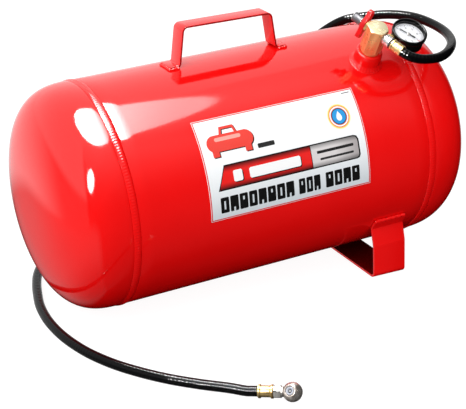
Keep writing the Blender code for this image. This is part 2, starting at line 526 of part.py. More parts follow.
# stem with its wrench flats and the socket block inside the case
stem = turned("gauge_stem", [(4.2, 6.0), (4.2, 11.45), (5.2, 11.55), (5.2, 13.2), (5.5, 13.5), (5.5, 22.4), (4.4, 23.0), (4.4, 25.1), (2.55, 25.1), (2.55, 27.5), (0, 27.5), (0, 25.9),
                             (1.5, 25.8), (1.5, 6.0)], BRASS, GSTEM, 28)
sq = prism("gauge_stem_wrench_cut", [(-14, 4.8), (14, 4.8), (14, 9), (-14, 9)], 14.6, 21.6, None, GSTEM, cutters)
cut(stem, sq)
sq2 = prism("gauge_stem_wrench_cut_b", [(-14, -9), (14, -9), (14, -4.8), (-14, -4.8)], 14.6, 21.6, None, GSTEM, cutters)
cut(stem, sq2)
blk = prism("add_stem_block", [(-4.0, -17.6), (4.0, -17.6), (4.0, -10.2), (-4.0, -10.2)], -3.8, -0.6, None, GAUGE, cutters)
cut(stem, blk, "UNION")

# ================= fill valve =================
fb6 = [(6.0 * math.cos(math.radians(60 * i)), 6.0 * math.sin(math.radians(60 * i))) for i in range(6)]
fb = prism("fill_valve_body", fb6, 11.53, 15.2, BRASS, FILL)
cut(fb, turned("add_fill_barrel", [(0, 27.0), (3.4, 27.0), (3.85, 26.5), (3.85, 14.8), (3.7, 14.8), (3.7, 7.2), (0, 7.2)], None, FILL, 28, cutters), "UNION")
cut(fb, rod_cutter("cut_fill_bore", FILL, 2.4, 0, 30, 20))
turned("fill_valve_core", [(2.1, 25.2), (2.1, 16.2), (0.86, 16.2), (0.86, 25.2)], BRASS, FILL, 20)
turned("fill_valve_pin", [(0, 26.6), (0.8, 26.6), (0.8, 15.6), (1.9, 15.6), (1.9, 14.9), (0, 14.9)], STEEL, FILL, 16)
turned("fill_valve_cap", [(4.9, 16.0), (5.1, 16.3), (5.1, 28.4), (4.4, 29.2), (0, 29.2), (0, 27.9), (4.15, 27.9), (4.15, 16.0)], BLACK, FILL, 28)
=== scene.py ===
"""Looks for the portable air receiver tank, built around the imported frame."""
import json
import math

import bmesh
import bpy
import numpy as np
from mathutils import Matrix, Vector


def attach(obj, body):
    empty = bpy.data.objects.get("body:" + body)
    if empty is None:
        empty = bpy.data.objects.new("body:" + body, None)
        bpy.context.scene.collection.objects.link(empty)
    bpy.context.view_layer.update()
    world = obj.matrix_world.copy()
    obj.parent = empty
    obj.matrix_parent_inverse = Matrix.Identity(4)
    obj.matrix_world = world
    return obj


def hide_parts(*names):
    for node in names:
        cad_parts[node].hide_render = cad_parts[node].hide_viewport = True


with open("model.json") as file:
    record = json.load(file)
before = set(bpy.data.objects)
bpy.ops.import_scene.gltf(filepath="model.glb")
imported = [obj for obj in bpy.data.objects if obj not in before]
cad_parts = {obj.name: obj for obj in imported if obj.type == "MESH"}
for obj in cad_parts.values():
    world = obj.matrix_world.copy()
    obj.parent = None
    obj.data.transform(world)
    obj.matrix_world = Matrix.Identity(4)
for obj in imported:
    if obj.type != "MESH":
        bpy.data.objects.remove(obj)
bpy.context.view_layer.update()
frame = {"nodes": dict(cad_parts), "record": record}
MM = 0.001
rng = np.random.default_rng(7)

# ---------------- dimensions in mm, as in the CAD ----------------
TANK_R, HALF_STRAIGHT, HEAD_DEPTH, HEAD_POWER = 132.0, 190.35, 77.5, 2.83
SHELL_HALF, BEAD_CROWN = 186.0, 133.0
TILT = math.radians(2.233)
AXIS_H = 190.6 * math.sin(TILT) + BEAD_CROWN * math.cos(TILT) + 0.02
STRAP_T, STRAP_W = 2.3, 24.2
HANDLE_PATH = ((-87.0, 133.75), (-74.0, 133.75), (-67.0, 178.2), (45.2, 175.8), (50.4, 133.75), (62.6, 133.75))
HANDLE_BENDS = (4.0, 6.0, 6.0, 4.0)
FOOT_X0, FOOT_X1, FOOT_T = 119.7, 163.5, 3.0
FOOT_PATH = ((-113.45, -71.2), (-107.05, -80.9), (-112.2, -103.0), (-112.2, -144.55),
             (112.2, -144.55), (112.2, -103.0), (107.05, -80.9), (113.45, -71.2))
FOOT_BENDS = (2.5, 9.0, 6.0, 6.0, 9.0, 2.5)
LABEL_X0, LABEL_X1, LABEL_A0, LABEL_A1, LABEL_T = -101.8, 103.1, -3.5, 46.5, 0.25
PORT_X, PORT_LEAN = 139.25, math.radians(30.07)
OUTLET_DIR = Vector((0.39153, -0.79633, -0.46105))
HEX_FLAT, HEX_TOP, HEX_BOT = 11.23, 187.94, 151.35
Z_HOSE, Z_GAUGE, Z_FILL = 179.58, 167.0, 160.0
BAR_TURN = math.radians(23.15)
GAUGE_OUT = 44.08
POINTER_ZERO, POINTER_SWEEP = 50.0, 260.0
HOSE_R, OUTLET_LEN = 5.6, 39.1
CHUCK_START = Vector((-131.2, -295.8, 7.45))
CHUCK_DIR = Vector((0.759, -0.643, 0.097)).normalized()
CHUCK_MOUTH = Vector((-0.695, -0.438, 0.571)).normalized()
BALL_R, BALL_OUT = 10.5, 36.4
HOSE_POINTS = (
    (156.1, -129.1, 279), (165.8, -133.3, 276.3), (177.4, -134.6, 275), (190, -133.6, 274.6), (206.4, -126.4, 276),
    (229.6, -102.5, 278.3), (243, -72.5, 280.6),
    (246.2, -39.5, 282.8), (241, -6.5, 284.2), (228.4, 24.5, 281.8), (210.4, 52, 275.6),
    (189, 76, 266.8), (168, 98.4, 246), (150.5, 116.8, 221.2), (136, 129.6, 193.6),
    (123, 136.8, 165), (111, 139, 135.5), (97, 140.6, 107), (79.5, 142.8, 80),
    (57, 145.8, 55.5), (29, 149, 35), (-4, 151.4, 19.8), (-39, 153, 10.5),
    (-75, 153.4, 6.7), (-111, 151.8, 5.8), (-145, 147, 5.8), (-175, 137.8, 5.8),
    (-201, 122, 5.8), (-221, 101.5, 5.8), (-234.5, 79.1, 5.8), (-245, 53.6, 5.8),
    (-253.3, 27.6, 5.8), (-260.2, 2, 5.8), (-264.6, -26, 5.8), (-266.1, -54.3, 5.8),
    (-264, -88, 5.8), (-257.2, -122.9, 5.8), (-249.1, -147.5, 5.8), (-237, -174, 5.8),
    (-218.6, -203.4, 5.8), (-199.7, -227.8, 5.8), (-176.6, -252.1, 5.9), (-153, -274.6, 6.3))

TANK = Matrix.Translation((0, 0, AXIS_H)) @ Matrix.Rotation(-TILT, 4, "Y")


def mm_frame(origin, zdir, xhint):
    z = Vector(zdir).normalized()
    x = (Vector(xhint) - z * Vector(xhint).dot(z)).normalized()
    m = Matrix((x, z.cross(x), z)).transposed().to_4x4()
    m.translation = Vector(origin)
    return m


AXIS_A = Vector((0, -math.sin(PORT_LEAN), math.cos(PORT_LEAN)))
H = (OUTLET_DIR - AXIS_A * OUTLET_DIR.dot(AXIS_A)).normalized()
T = AXIS_A.cross(H)
G = H * 0.5 + T * (math.sqrt(3) / 2)
F = H * -0.5 + T * (math.sqrt(3) / 2)
O = Vector((PORT_X, 0, 0))
PORT = TANK @ mm_frame(O, AXIS_A, H)
PORT_ROUND = TANK @ mm_frame(O, AXIS_A, (1, 0, 0))
OUTLET = TANK @ mm_frame(O + AXIS_A * Z_HOSE, H, AXIS_A)
VALVE = TANK @ mm_frame(O + AXIS_A * Z_HOSE, -H, AXIS_A * math.cos(BAR_TURN) + T * math.sin(BAR_TURN))
GSTEM = TANK @ mm_frame(O + AXIS_A * Z_GAUGE, G, AXIS_A)
FILL = TANK @ mm_frame(O + AXIS_A * Z_FILL, F, AXIS_A)
GAUGE = TANK @ mm_frame(O + AXIS_A * Z_GAUGE + G * GAUGE_OUT, AXIS_A, G.cross(AXIS_A))
CHUCK = mm_frame(CHUCK_START, CHUCK_DIR, (0, 0, 1))
BALL = mm_frame(CHUCK_START + CHUCK_DIR * BALL_OUT, CHUCK_MOUTH, CHUCK_DIR)
RIGHT = TANK @ mm_frame((0, 0, 0), (1, 0, 0), (0, 0, -1))
LEFT = TANK @ mm_frame((0, 0, 0), (-1, 0, 0), (0, 0, -1))

# ---------------- camera ----------------
cam_data = bpy.data.cameras.new("camera")
cam = bpy.data.objects.new("camera", cam_data)
bpy.context.scene.collection.objects.link(cam)
bpy.context.scene.camera = cam
cam_r = Vector((0.88961306, -0.45661923, -0.00935317))
cam_u = Vector((0.18504838, 0.34164824, 0.92143018))
cam_b = cam_r.cross(cam_u)
m = Matrix((cam_r, cam_u, cam_b)).transposed().to_4x4()
m.translation = Vector((-0.751268, -1.462822, 0.773887))
cam.matrix_world = m
cam_data.sensor_width = 36.0
cam_data.lens = 113.34
cam_data.clip_start, cam_data.clip_end = 0.05, 60.0

# ---------------- materials ----------------


class Mat:
    """A small node-graph helper around one Principled shader."""

    def __init__(self, name, color=(0.5, 0.5, 0.5), rough=0.4, metal=0.0, spec=0.5, coat=0.0, coat_rough=0.03):
        self.m = bpy.data.materials.new(name)
        self.m.use_nodes = True
        self.t = self.m.node_tree
        self.b = self.t.nodes["Principled BSDF"]
        self.set("Base Color", (*color, 1.0))
        self.set("Roughness", rough)
        self.set("Metallic", metal)
        self.set("Specular IOR Level", spec)
        if coat:
            self.set("Coat Weight", coat)
            self.set("Coat Roughness", coat_rough)
        self._co = None

    def set(self, key, value):
        self.b.inputs[key].default_value = value

    def link(self, out, key):
        self.t.links.new(out, self.b.inputs[key])

    def node(self, kind, **kw):
        n = self.t.nodes.new(kind)
        for k, v in kw.items():
            if k == "inputs":
                for a, b in v.items():
                    n.inputs[a].default_value = b
            else:
                setattr(n, k, v)
        return n

    def coord(self, which="Object"):
        if self._co is None:
            self._co = self.node("ShaderNodeTexCoord")
        return self._co.outputs[which]

    def mapped(self, scale, which="Object", rot=(0, 0, 0)):
        mp = self.node("ShaderNodeMapping")
        mp.inputs["Scale"].default_value = scale
        mp.inputs["Rotation"].default_value = rot
        self.t.links.new(self.coord(which), mp.inputs["Vector"])
        return mp.outputs["Vector"]

    def noise(self, scale, vec=None, detail=3.0, rough=0.55, distort=0.0):
        n = self.node("ShaderNodeTexNoise", inputs={"Scale": scale, "Detail": detail, "Roughness": rough, "Distortion": distort})
        self.t.links.new(vec or self.coord(), n.inputs["Vector"])
        return n.outputs["Fac"]

    def ramp(self, fac, stops):
        r = self.node("ShaderNodeValToRGB")
        el = r.color_ramp.elements
        while len(el) > 1:
            el.remove(el[-1])
        el[0].position, el[0].color = stops[0][0], (*stops[0][1], 1.0)
        for pos, c in stops[1:]:
            e = el.new(pos)
            e.color = (*c, 1.0)
        self.t.links.new(fac, r.inputs["Fac"])
        return r.outputs["Color"]

    def rng(self, fac, lo, hi, a=0.0, b=1.0):
        r = self.node("ShaderNodeMapRange", inputs={"From Min": a, "From Max": b, "To Min": lo, "To Max": hi})
        self.t.links.new(fac, r.inputs["Value"])
        return r.outputs["Result"]

    def math(self, op, a, b=None):
        n = self.node("ShaderNodeMath", operation=op)
        for i, v in enumerate((a, b)):
            if v is None:
                continue
            if isinstance(v, (int, float)):
                n.inputs[i].default_value = v
            else:
                self.t.links.new(v, n.inputs[i])
        return n.outputs[0]

    def bump(self, height, dist, strength=1.0):
        n = self.node("ShaderNodeBump", inputs={"Distance": dist, "Strength": strength})
        self.t.links.new(height, n.inputs["Height"])
        prev = self.b.inputs["Normal"].links
        if prev:
            self.t.links.new(prev[0].from_socket, n.inputs["Normal"])
        self.link(n.outputs["Normal"], "Normal")
        return self


RED_HI, RED_LO = (0.86, 0.004, 0.004), (0.80, 0.003, 0.003)


def red_paint(name, peel=0.000016, lumps=0.0):
    k = Mat(name, RED_HI, 0.06, 0.0, 0.72)
    k.link(k.ramp(k.noise(7.0, detail=4.0), [(0.3, RED_LO), (0.7, RED_HI)]), "Base Color")
    k.link(k.rng(k.noise(16.0, detail=5.0), 0.05, 0.11, 0.3, 0.7), "Roughness")
    k.bump(k.noise(330.0, detail=2.0, rough=0.6), peel)
    k.bump(k.noise(5.0, detail=1.0), 0.0006)
    if lumps:
        k.bump(k.noise(700.0, detail=3.0), lumps)
    return k.m


def brushed(name, color, dark, rough, lines=(1.0, 1.0, 60.0), spec=0.5, scratch=0.000006):
    k = Mat(name, color, rough, 1.0, spec)
    streak = k.noise(90.0, k.mapped(lines), detail=4.0, rough=0.6)
    k.link(k.ramp(streak, [(0.28, dark), (0.62, color)]), "Base Color")
    k.link(k.rng(k.noise(120.0, detail=3.0), rough * 0.7, rough * 1.5, 0.3, 0.7), "Roughness")
    k.bump(streak, scratch)
    return k.m


M_RED = red_paint("red_enamel")
M_RED_WELD = red_paint("red_enamel_weld", 0.00002, 0.00005)
# painted shade: a darker red for the handle strap's thin cut edges
k = Mat("red_enamel_cut_edge_painted_shade", (0.34, 0.003, 0.003), 0.2, 0.0, 0.35)
k.link(k.ramp(k.noise(60.0, detail=4.0), [(0.3, (0.24, 0.003, 0.003)), (0.7, (0.42, 0.003, 0.003))]), "Base Color")
k.bump(k.noise(330.0, detail=2.0), 0.00002)
M_RED_CUT_EDGE_SHADE = k.m
# painted shade: red enamel whose colour darkens towards black where ambient occlusion finds nearby surfaces, for the
# foot's inner faces
k = Mat("red_enamel_painted_shade", RED_LO, 0.3, 0.0, 0.0)
ao = k.node("ShaderNodeAmbientOcclusion", samples=8, inputs={"Distance": 0.10})
dark = k.math("POWER", ao.outputs["AO"], 1.2)
mixed = k.node("ShaderNodeMix", data_type="RGBA")
mixed.inputs["A"].default_value = (0.004, 0.0005, 0.0005, 1.0)
mixed.inputs["B"].default_value = (*RED_LO, 1.0)
k.t.links.new(dark, mixed.inputs["Factor"])
k.link(mixed.outputs["Result"], "Base Color")
k.bump(k.noise(330.0, detail=2.0, rough=0.6), 0.000016)
M_RED_PAINTED_SHADE = k.m
M_BRASS = brushed("brass_turned", (0.90, 0.66, 0.30), (0.74, 0.48, 0.18), 0.3, (1.0, 1.0, 1.0))
k = Mat("brass_bar", (0.84, 0.42, 0.17), 0.34, 0.65, 0.5)
streak = k.noise(60.0, k.mapped((1.0, 1.0, 0.25)), detail=2.0, rough=0.5)
k.link(k.ramp(streak, [(0.25, (0.78, 0.38, 0.14)), (0.7, (0.92, 0.49, 0.21))]), "Base Color")
k.link(k.rng(k.noise(120.0, detail=3.0), 0.22, 0.42, 0.3, 0.7), "Roughness")
k.bump(streak, 0.000006)
M_BRASS_BAR = k.m
# painted light: a paler, creamier brass for the manifold's upward-facing top, lighter than its sides as if lit from
# above
k = Mat("brass_top_painted_light", (0.93, 0.84, 0.56), 0.24, 0.55, 0.5)
k.link(k.ramp(k.noise(70.0, detail=2.0), [(0.3, (0.86, 0.74, 0.45)), (0.7, (0.95, 0.86, 0.58))]), "Base Color")
k.link(k.rng(k.noise(120.0, detail=3.0), 0.18, 0.32, 0.3, 0.7), "Roughness")
k.bump(k.noise(300.0, detail=2.0), 0.000006)
M_BRASS_TOP_LIT = k.m
k = Mat("nut_grey", (0.14, 0.14, 0.15), 0.4, 0.4, 0.4)
k.link(k.ramp(k.noise(80.0, k.mapped((30.0, 30.0, 1.0)), detail=3.0), [(0.3, (0.05, 0.05, 0.055)), (0.65, (0.19, 0.19, 0.20))]), "Base Color")
k.link(k.rng(k.noise(120.0, detail=3.0), 0.3, 0.5, 0.3, 0.7), "Roughness")
M_NUT = k.m
M_NICKEL = brushed("nickel_plate", (0.78, 0.76, 0.73), (0.60, 0.57, 0.54), 0.22)
k = Mat("nickel_ball", (0.72, 0.65, 0.60), 0.2, 0.88, 0.6)
k.link(k.ramp(k.noise(110.0, detail=5.0, rough=0.7), [(0.34, (0.36, 0.28, 0.23)), (0.5, (0.70, 0.62, 0.56)), (0.66, (0.93, 0.88, 0.84))]), "Base Color")
k.link(k.rng(k.noise(160.0, detail=3.0), 0.14, 0.34, 0.3, 0.7), "Roughness")
k.bump(k.noise(240.0, detail=3.0), 0.00004)
M_CHROME = k.m
k = Mat("seal_grey", (0.42, 0.44, 0.50), 0.35, 0.0, 0.5)
k.link(k.ramp(k.noise(200.0, detail=3.0), [(0.3, (0.34, 0.36, 0.42)), (0.7, (0.50, 0.52, 0.58))]), "Base Color")
k.bump(k.noise(600.0), 0.00001)
M_SEAL = k.m
k = Mat("nickel_bright", (0.72, 0.70, 0.67), 0.2, 0.8, 0.6)
k.link(k.ramp(k.noise(90.0, k.mapped((1.0, 1.0, 30.0)), detail=4.0), [(0.3, (0.70, 0.67, 0.64)), (0.62, (0.86, 0.85, 0.83))]), "Base Color")
k.link(k.rng(k.noise(120.0, detail=3.0), 0.12, 0.3, 0.3, 0.7), "Roughness")
M_NICKEL_B = k.m
k = Mat("nickel_neck", (0.62, 0.59, 0.56), 0.36, 0.85, 0.5)
k.link(k.ramp(k.noise(90.0, k.mapped((1.0, 1.0, 30.0)), detail=4.0), [(0.3, (0.52, 0.49, 0.46)), (0.62, (0.70, 0.68, 0.65))]), "Base Color")
k.link(k.rng(k.noise(120.0, detail=3.0), 0.3, 0.44, 0.3, 0.7), "Roughness")
M_NICKEL_N = k.m
M_STEEL = brushed("steel_turned", (0.55, 0.55, 0.56), (0.35, 0.35, 0.36), 0.25)
k = Mat("rubber_black", (0.012, 0.012, 0.012), 0.5, 0.0, 0.4)
k.link(k.rng(k.noise(300.0, detail=4.0), 0.42, 0.62, 0.3, 0.7), "Roughness")
k.bump(k.noise(900.0), 0.00002)
M_RUBBER = k.m
k = Mat("gauge_black_enamel", (0.002, 0.002, 0.0024), 0.06, 0.0, 0.22)
k.link(k.rng(k.noise(60.0), 0.03, 0.08, 0.3, 0.7), "Roughness")
k.bump(k.noise(500.0), 0.000008)
M_BLACK = k.m
k = Mat("black_plastic", (0.014, 0.014, 0.015), 0.45)
k.bump(k.noise(800.0), 0.00003)
M_PLASTIC = k.m
k = Mat("red_plastic", (0.72, 0.006, 0.008), 0.14, 0.0, 0.6)
k.link(k.ramp(k.noise(80.0, detail=4.0), [(0.3, (0.62, 0.005, 0.006)), (0.7, (0.78, 0.008, 0.010))]), "Base Color")
k.link(k.rng(k.noise(150.0, detail=5.0), 0.09, 0.2, 0.3, 0.7), "Roughness")
k.bump(k.noise(420.0, detail=3.0), 0.00004)
M_RED_PLASTIC = k.m
# hose: ribbed cover, ribs every 4 mm along it, with fine lengthwise cloth lines
k = Mat("hose_rubber", (0.0018, 0.0018, 0.0022), 0.1, 0.0, 0.13)
uvw = k.mapped((1.0, 1.0, 1.0), "UV")
sep = k.node("ShaderNodeSeparateXYZ")
k.t.links.new(uvw, sep.inputs[0])
wob = k.noise(0.9, k.mapped((180.0, 6.0, 1.0), "UV"), detail=2.0)
along = k.math("ADD", k.math("MULTIPLY", sep.outputs["X"], 2 * math.pi / 0.0041), k.math("MULTIPLY", wob, 5.0))
ribs = k.math("SINE", along)
lines = k.math("SINE", k.math("MULTIPLY", sep.outputs["Y"], 2 * math.pi * 20.0))
k.bump(ribs, 0.00008)
k.bump(lines, 0.000012)
k.bump(k.noise(1.0, k.mapped((400.0, 30.0, 1.0), "UV"), detail=3.0), 0.00001)
k.link(k.rng(k.noise(1.0, k.mapped((60.0, 8.0, 1.0), "UV"), detail=3.0), 0.04, 0.08, 0.3, 0.7), "Roughness")
M_HOSE = k.m
k = Mat("gauge_window_clear", (0.02, 0.02, 0.022), 0.05, 0.0, 0.3)
k.set("Alpha", 0.05)
k.bump(k.noise(30.0), 0.000004)
M_GLASS = k.m
k = Mat("dial_silver_painted_glow", (0.60, 0.61, 0.66), 0.4, 0.0, 0.3)
k.link(k.ramp(k.noise(40.0, k.mapped((1.0, 14.0, 1.0)), detail=4.0), [(0.3, (0.88, 0.88, 0.93)), (0.7, (0.94, 0.95, 0.97))]), "Base Color")
# painted light: the dial glows faintly, brightening it inside the shade of the bezel
k.set("Emission Color", (0.93, 0.94, 1.0, 1.0))
k.set("Emission Strength", 0.12)
M_DIAL = k.m
k = Mat("dial_ink", (0.012, 0.012, 0.014), 0.5)
k.bump(k.noise(900.0), 0.000004)
M_INK = k.m
k = Mat("dial_red_ink", (0.7, 0.01, 0.01), 0.5)
k.bump(k.noise(900.0), 0.000004)
M_INK_RED = k.m
# label film, paper-white with its tone falling away downwards, and the printed artwork over it
k = Mat("label_film", (0.85, 0.86, 0.87), 0.16, 0.0, 0.5)
sep = k.node("ShaderNodeSeparateXYZ")
k.t.links.new(k.coord(), sep.inputs[0])
k.link(k.ramp(k.rng(sep.outputs["Z"], 0.0, 1.0, -0.008, 0.096), [(0.0, (0.62, 0.67, 0.71)), (0.35, (0.80, 0.83, 0.85)), (0.8, (0.94, 0.94, 0.94))]), "Base Color")
k.link(k.rng(k.noise(60.0), 0.12, 0.22, 0.3, 0.7), "Roughness")
k.bump(k.noise(240.0, detail=2.0), 0.000008)
M_FILM = k.m
k = Mat("label_print", (0.5, 0.5, 0.5), 0.2, 0.0, 0.5)
att = k.node("ShaderNodeAttribute", attribute_name="Ink")
k.link(att.outputs["Color"], "Base Color")
k.link(k.rng(k.noise(60.0), 0.14, 0.26, 0.3, 0.7), "Roughness")
k.bump(k.noise(240.0, detail=2.0), 0.000008)
M_PRINT = k.m

# ---------------- shape helpers ----------------
looks = bpy.data.collections.new("looks")
bpy.context.scene.collection.children.link(looks)
BODY = {}
for b_, ns in frame["record"]["behaviour"]["bodies"].items():
    for n_ in ns:
        BODY[n_] = b_


def evaluated(ob):
    bpy.context.view_layer.update()
    me = bpy.data.meshes.new_from_object(ob.evaluated_get(bpy.context.evaluated_depsgraph_get()))
    ob.modifiers.clear()
    ob.data = me
    return ob


def finish_mesh(name, bm, m4, mat=None, node=None, bevel=0.0, bseg=3, sharp=35.0):
    bmesh.ops.remove_doubles(bm, verts=bm.verts, dist=1e-7)
    bmesh.ops.recalc_face_normals(bm, faces=bm.faces)
    me = bpy.data.meshes.new(name)
    bm.to_mesh(me)
    bm.free()
    ob = bpy.data.objects.new(name, me)
    looks.objects.link(ob)
    mw = m4.copy()
    mw.translation = m4.translation * MM
    ob.matrix_world = mw
    if bevel:
        mod = ob.modifiers.new("Bevel", "BEVEL")
        mod.width = bevel * MM
        mod.segments = bseg
        mod.limit_method = "ANGLE"
        mod.angle_limit = math.radians(40)
        evaluated(ob)
    dress(ob, mat, node, sharp)
    return ob


def dress(ob, mat=None, node=None, sharp=35.0):
    ob.data.shade_smooth()
    ob.data.set_sharp_from_angle(angle=math.radians(sharp))
    if mat:
        ob.data.materials.clear()
        ob.data.materials.append(mat)
    if node:
        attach(ob, BODY[node])
        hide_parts(node)
    return ob


def loft(name, rings, m4, mat=None, node=None, loop=False, bevel=0.0, bseg=3, sharp=35.0):
    bm = bmesh.new()
    vs = [[bm.verts.new(Vector(p) * MM) for p in ring] for ring in rings]
    n, kk = len(vs), len(vs[0])
    for a in range(n if loop else n - 1):
        for i in range(kk):
            j = (i + 1) % kk
            bm.faces.new((vs[a][i], vs[a][j], vs[(a + 1) % n][j], vs[(a + 1) % n][i]))
    if not loop:
        bm.faces.new(vs[0])
        bm.faces.new(list(reversed(vs[-1])))
    return finish_mesh(name, bm, m4, mat, node, bevel, bseg, sharp)


def turned(name, profile, m4, mat=None, node=None, seg=64, sharp=35.0):
    bm = bmesh.new()
    rings = []
    for r, z in profile:
        if r < 1e-6:
            rings.append([bm.verts.new((0, 0, z * MM))])
        else:
            rings.append([bm.verts.new((r * math.cos(2 * math.pi * i / seg) * MM, r * math.sin(2 * math.pi * i / seg) * MM, z * MM)) for i in range(seg)])
    n = len(rings)
    closed = len(rings[0]) > 1 and len(rings[-1]) > 1
    for q in range(n if closed else n - 1):
        a, b = rings[q], rings[(q + 1) % n]
        for i in range(seg):
            j = (i + 1) % seg
            if len(a) == 1 and len(b) == 1:
                continue
            if len(a) == 1:
                bm.faces.new((a[0], b[i], b[j]))
            elif len(b) == 1:
                bm.faces.new((a[i], b[0], a[j]))
            else:
                bm.faces.new((a[i], b[i], b[j], a[j]))
    return finish_mesh(name, bm, m4, mat, node, 0, 3, sharp)


def soften(profile, r=0.35, steps=3):
    """Rounds the corners of a (radius, z) profile that touch no axis."""
    out = []
    n = len(profile)
    closed = profile[0][0] > 1e-6 and profile[-1][0] > 1e-6
    for i, p in enumerate(profile):
        if (not closed and i in (0, n - 1)) or p[0] < 1e-6:
            out.append(p)
            continue
        a, b, c = Vector(profile[i - 1]), Vector(p), Vector(profile[(i + 1) % n])
        u, v = (a - b), (c - b)
        lu, lv = u.length, v.length
        if lu < 1e-6 or lv < 1e-6:
            out.append(p)
            continue
        u, v = u / lu, v / lv
        if u.dot(v) < -0.97:
            out.append(p)
            continue
        d = min(r, lu * 0.4, lv * 0.4)
        s, e = b + u * d, b + v * d
        for q in range(steps + 1):
            t = q / steps
            w = s * (1 - t) ** 2 + b * 2 * t * (1 - t) + e * t ** 2
            out.append((w.x, w.y))
    return out


def prism(name, outline, z0, z1, m4, mat=None, node=None, bevel=0.0, bseg=3):
    return loft(name, [[(x, y, z0) for x, y in outline], [(x, y, z1) for x, y in outline]], m4, mat, node, False, bevel, bseg)


def boolean(ob, cutter, op):
    mod = ob.modifiers.new("b", "BOOLEAN")
    mod.operation, mod.solver, mod.object = op, "EXACT", cutter
    evaluated(ob)
    bpy.data.objects.remove(cutter, do_unlink=True)
    return ob


def rounded(path, radii, steps=14):
    out = [Vector(path[0])]
    for q in range(1, len(path) - 1):
        p, a, b = Vector(path[q]), Vector(path[q - 1]), Vector(path[q + 1])
        u, v = (a - p).normalized(), (b - p).normalized()
        half = math.acos(max(-1.0, min(1.0, u.dot(v)))) / 2
        d = radii[q - 1] / math.tan(half)
        c = p + (u + v).normalized() * (radii[q - 1] / math.sin(half))
        s, e = p + u * d - c, p + v * d - c
        sweep = s.angle_signed(e)
        for i in range(steps + 1):
            w = -sweep * i / steps
            out.append(c + Vector((s.x * math.cos(w) - s.y * math.sin(w), s.x * math.sin(w) + s.y * math.cos(w))))
    out.append(Vector(path[-1]))
    return out


def strap_outline(path, t):
    left, right = [], []
    for q, p in enumerate(path):
        d1 = (path[q] - path[q - 1]).normalized() if q else (path[1] - path[0]).normalized()
        d2 = (path[q + 1] - path[q]).normalized() if q < len(path) - 1 else d1
        n1, n2 = Vector((-d1.y, d1.x)), Vector((-d2.y, d2.x))
        n = (n1 + n2).normalized()
        n = n / max(0.3, n.dot(n1))
        left.append(p + n * (t / 2))
        right.append(p - n * (t / 2))
    return left + right[::-1]


def smooth_path(points, step):
    p = [np.array(q, float) for q in points]
    p = [2 * p[0] - p[1]] + p + [2 * p[-1] - p[-2]]
    dense = []
    for i in range(1, len(p) - 2):
        t = [0.0]
        for q in range(3):
            t.append(t[-1] + max(1e-6, np.linalg.norm(p[i + q] - p[i + q - 1])) ** 0.5)
        for s in np.linspace(t[1], t[2], 24, endpoint=False):
            a1 = (t[1] - s) / (t[1] - t[0]) * p[i - 1] + (s - t[0]) / (t[1] - t[0]) * p[i]
            a2 = (t[2] - s) / (t[2] - t[1]) * p[i] + (s - t[1]) / (t[2] - t[1]) * p[i + 1]
            a3 = (t[3] - s) / (t[3] - t[2]) * p[i + 1] + (s - t[2]) / (t[3] - t[2]) * p[i + 2]
            b1 = (t[2] - s) / (t[2] - t[0]) * a1 + (s - t[0]) / (t[2] - t[0]) * a2
            b2 = (t[3] - s) / (t[3] - t[1]) * a2 + (s - t[1]) / (t[3] - t[1]) * a3
            dense.append((t[2] - s) / (t[2] - t[1]) * b1 + (s - t[1]) / (t[2] - t[1]) * b2)
    dense.append(p[-2])
    dense = np.array(dense)
    s = np.r_[0, np.cumsum(np.linalg.norm(np.diff(dense, axis=0), axis=1))]
    n = max(2, int(round(s[-1] / step)))
    q = np.linspace(0, s[-1], n + 1)
    return np.stack([np.interp(q, s, dense[:, c]) for c in range(3)], 1)


def sweep_tube(name, path, radius, seg, mat, caps=True):
    """Mesh tube with an untwisted frame; UV is metres along it and turns round it."""
    path = np.array(path, float)
    tang = np.gradient(path, axis=0)
    tang /= np.linalg.norm(tang, axis=1)[:, None]
    ref = np.cross(tang[0], (0, 0, 1.0))
    ref /= np.linalg.norm(ref)
    s = np.r_[0, np.cumsum(np.linalg.norm(np.diff(path, axis=0), axis=1))]
    bm = bmesh.new()
    uv = bm.loops.layers.uv.new("UVMap")
    rings = []
    for i, p in enumerate(path):
        ref = ref - tang[i] * ref.dot(tang[i])
        ref /= np.linalg.norm(ref)
        bi = np.cross(tang[i], ref)
        rad = radius(i) if callable(radius) else radius
        rings.append([bm.verts.new(tuple((p + rad * (math.cos(a) * ref + math.sin(a) * bi)) * MM)) for a in (2 * math.pi * j / seg for j in range(seg))])
    for i in range(len(path) - 1):
        for j in range(seg):
            f = bm.faces.new((rings[i][j], rings[i][(j + 1) % seg], rings[i + 1][(j + 1) % seg], rings[i + 1][j]))
            for lp, (a, b) in zip(f.loops, ((i, j), (i, j + 1), (i + 1, j + 1), (i + 1, j))):
                lp[uv].uv = (s[a] * MM, b / seg)
    if caps:
        bm.faces.new(rings[0])
        bm.faces.new(list(reversed(rings[-1])))
    bmesh.ops.recalc_face_normals(bm, faces=bm.faces)
    me = bpy.data.meshes.new(name)
    bm.to_mesh(me)
    bm.free()
    ob = bpy.data.objects.new(name, me)
    looks.objects.link(ob)
    me.shade_smooth()
    me.set_sharp_from_angle(angle=math.radians(50))
    me.materials.append(mat)
    return ob


# ---------------- hose, first ----------------
start = OUTLET @ Vector((0, 0, OUTLET_LEN + 0.1))
lead = OUTLET @ Vector((0, 0, OUTLET_LEN + 11.0))
tail = CHUCK_START - CHUCK_DIR * 0.3
pre = CHUCK_START - CHUCK_DIR * 12.0
route = [np.array(start)] + list(smooth_path([start + (lead - start) * 0.35] + list(HOSE_POINTS) + [pre, tail - CHUCK_DIR * 7.0], 2.2)) + [np.array(tail)]
hose = sweep_tube("hose_cover", route, HOSE_R, 28, M_HOSE)
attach(hose, "tank")
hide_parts("air_hose")

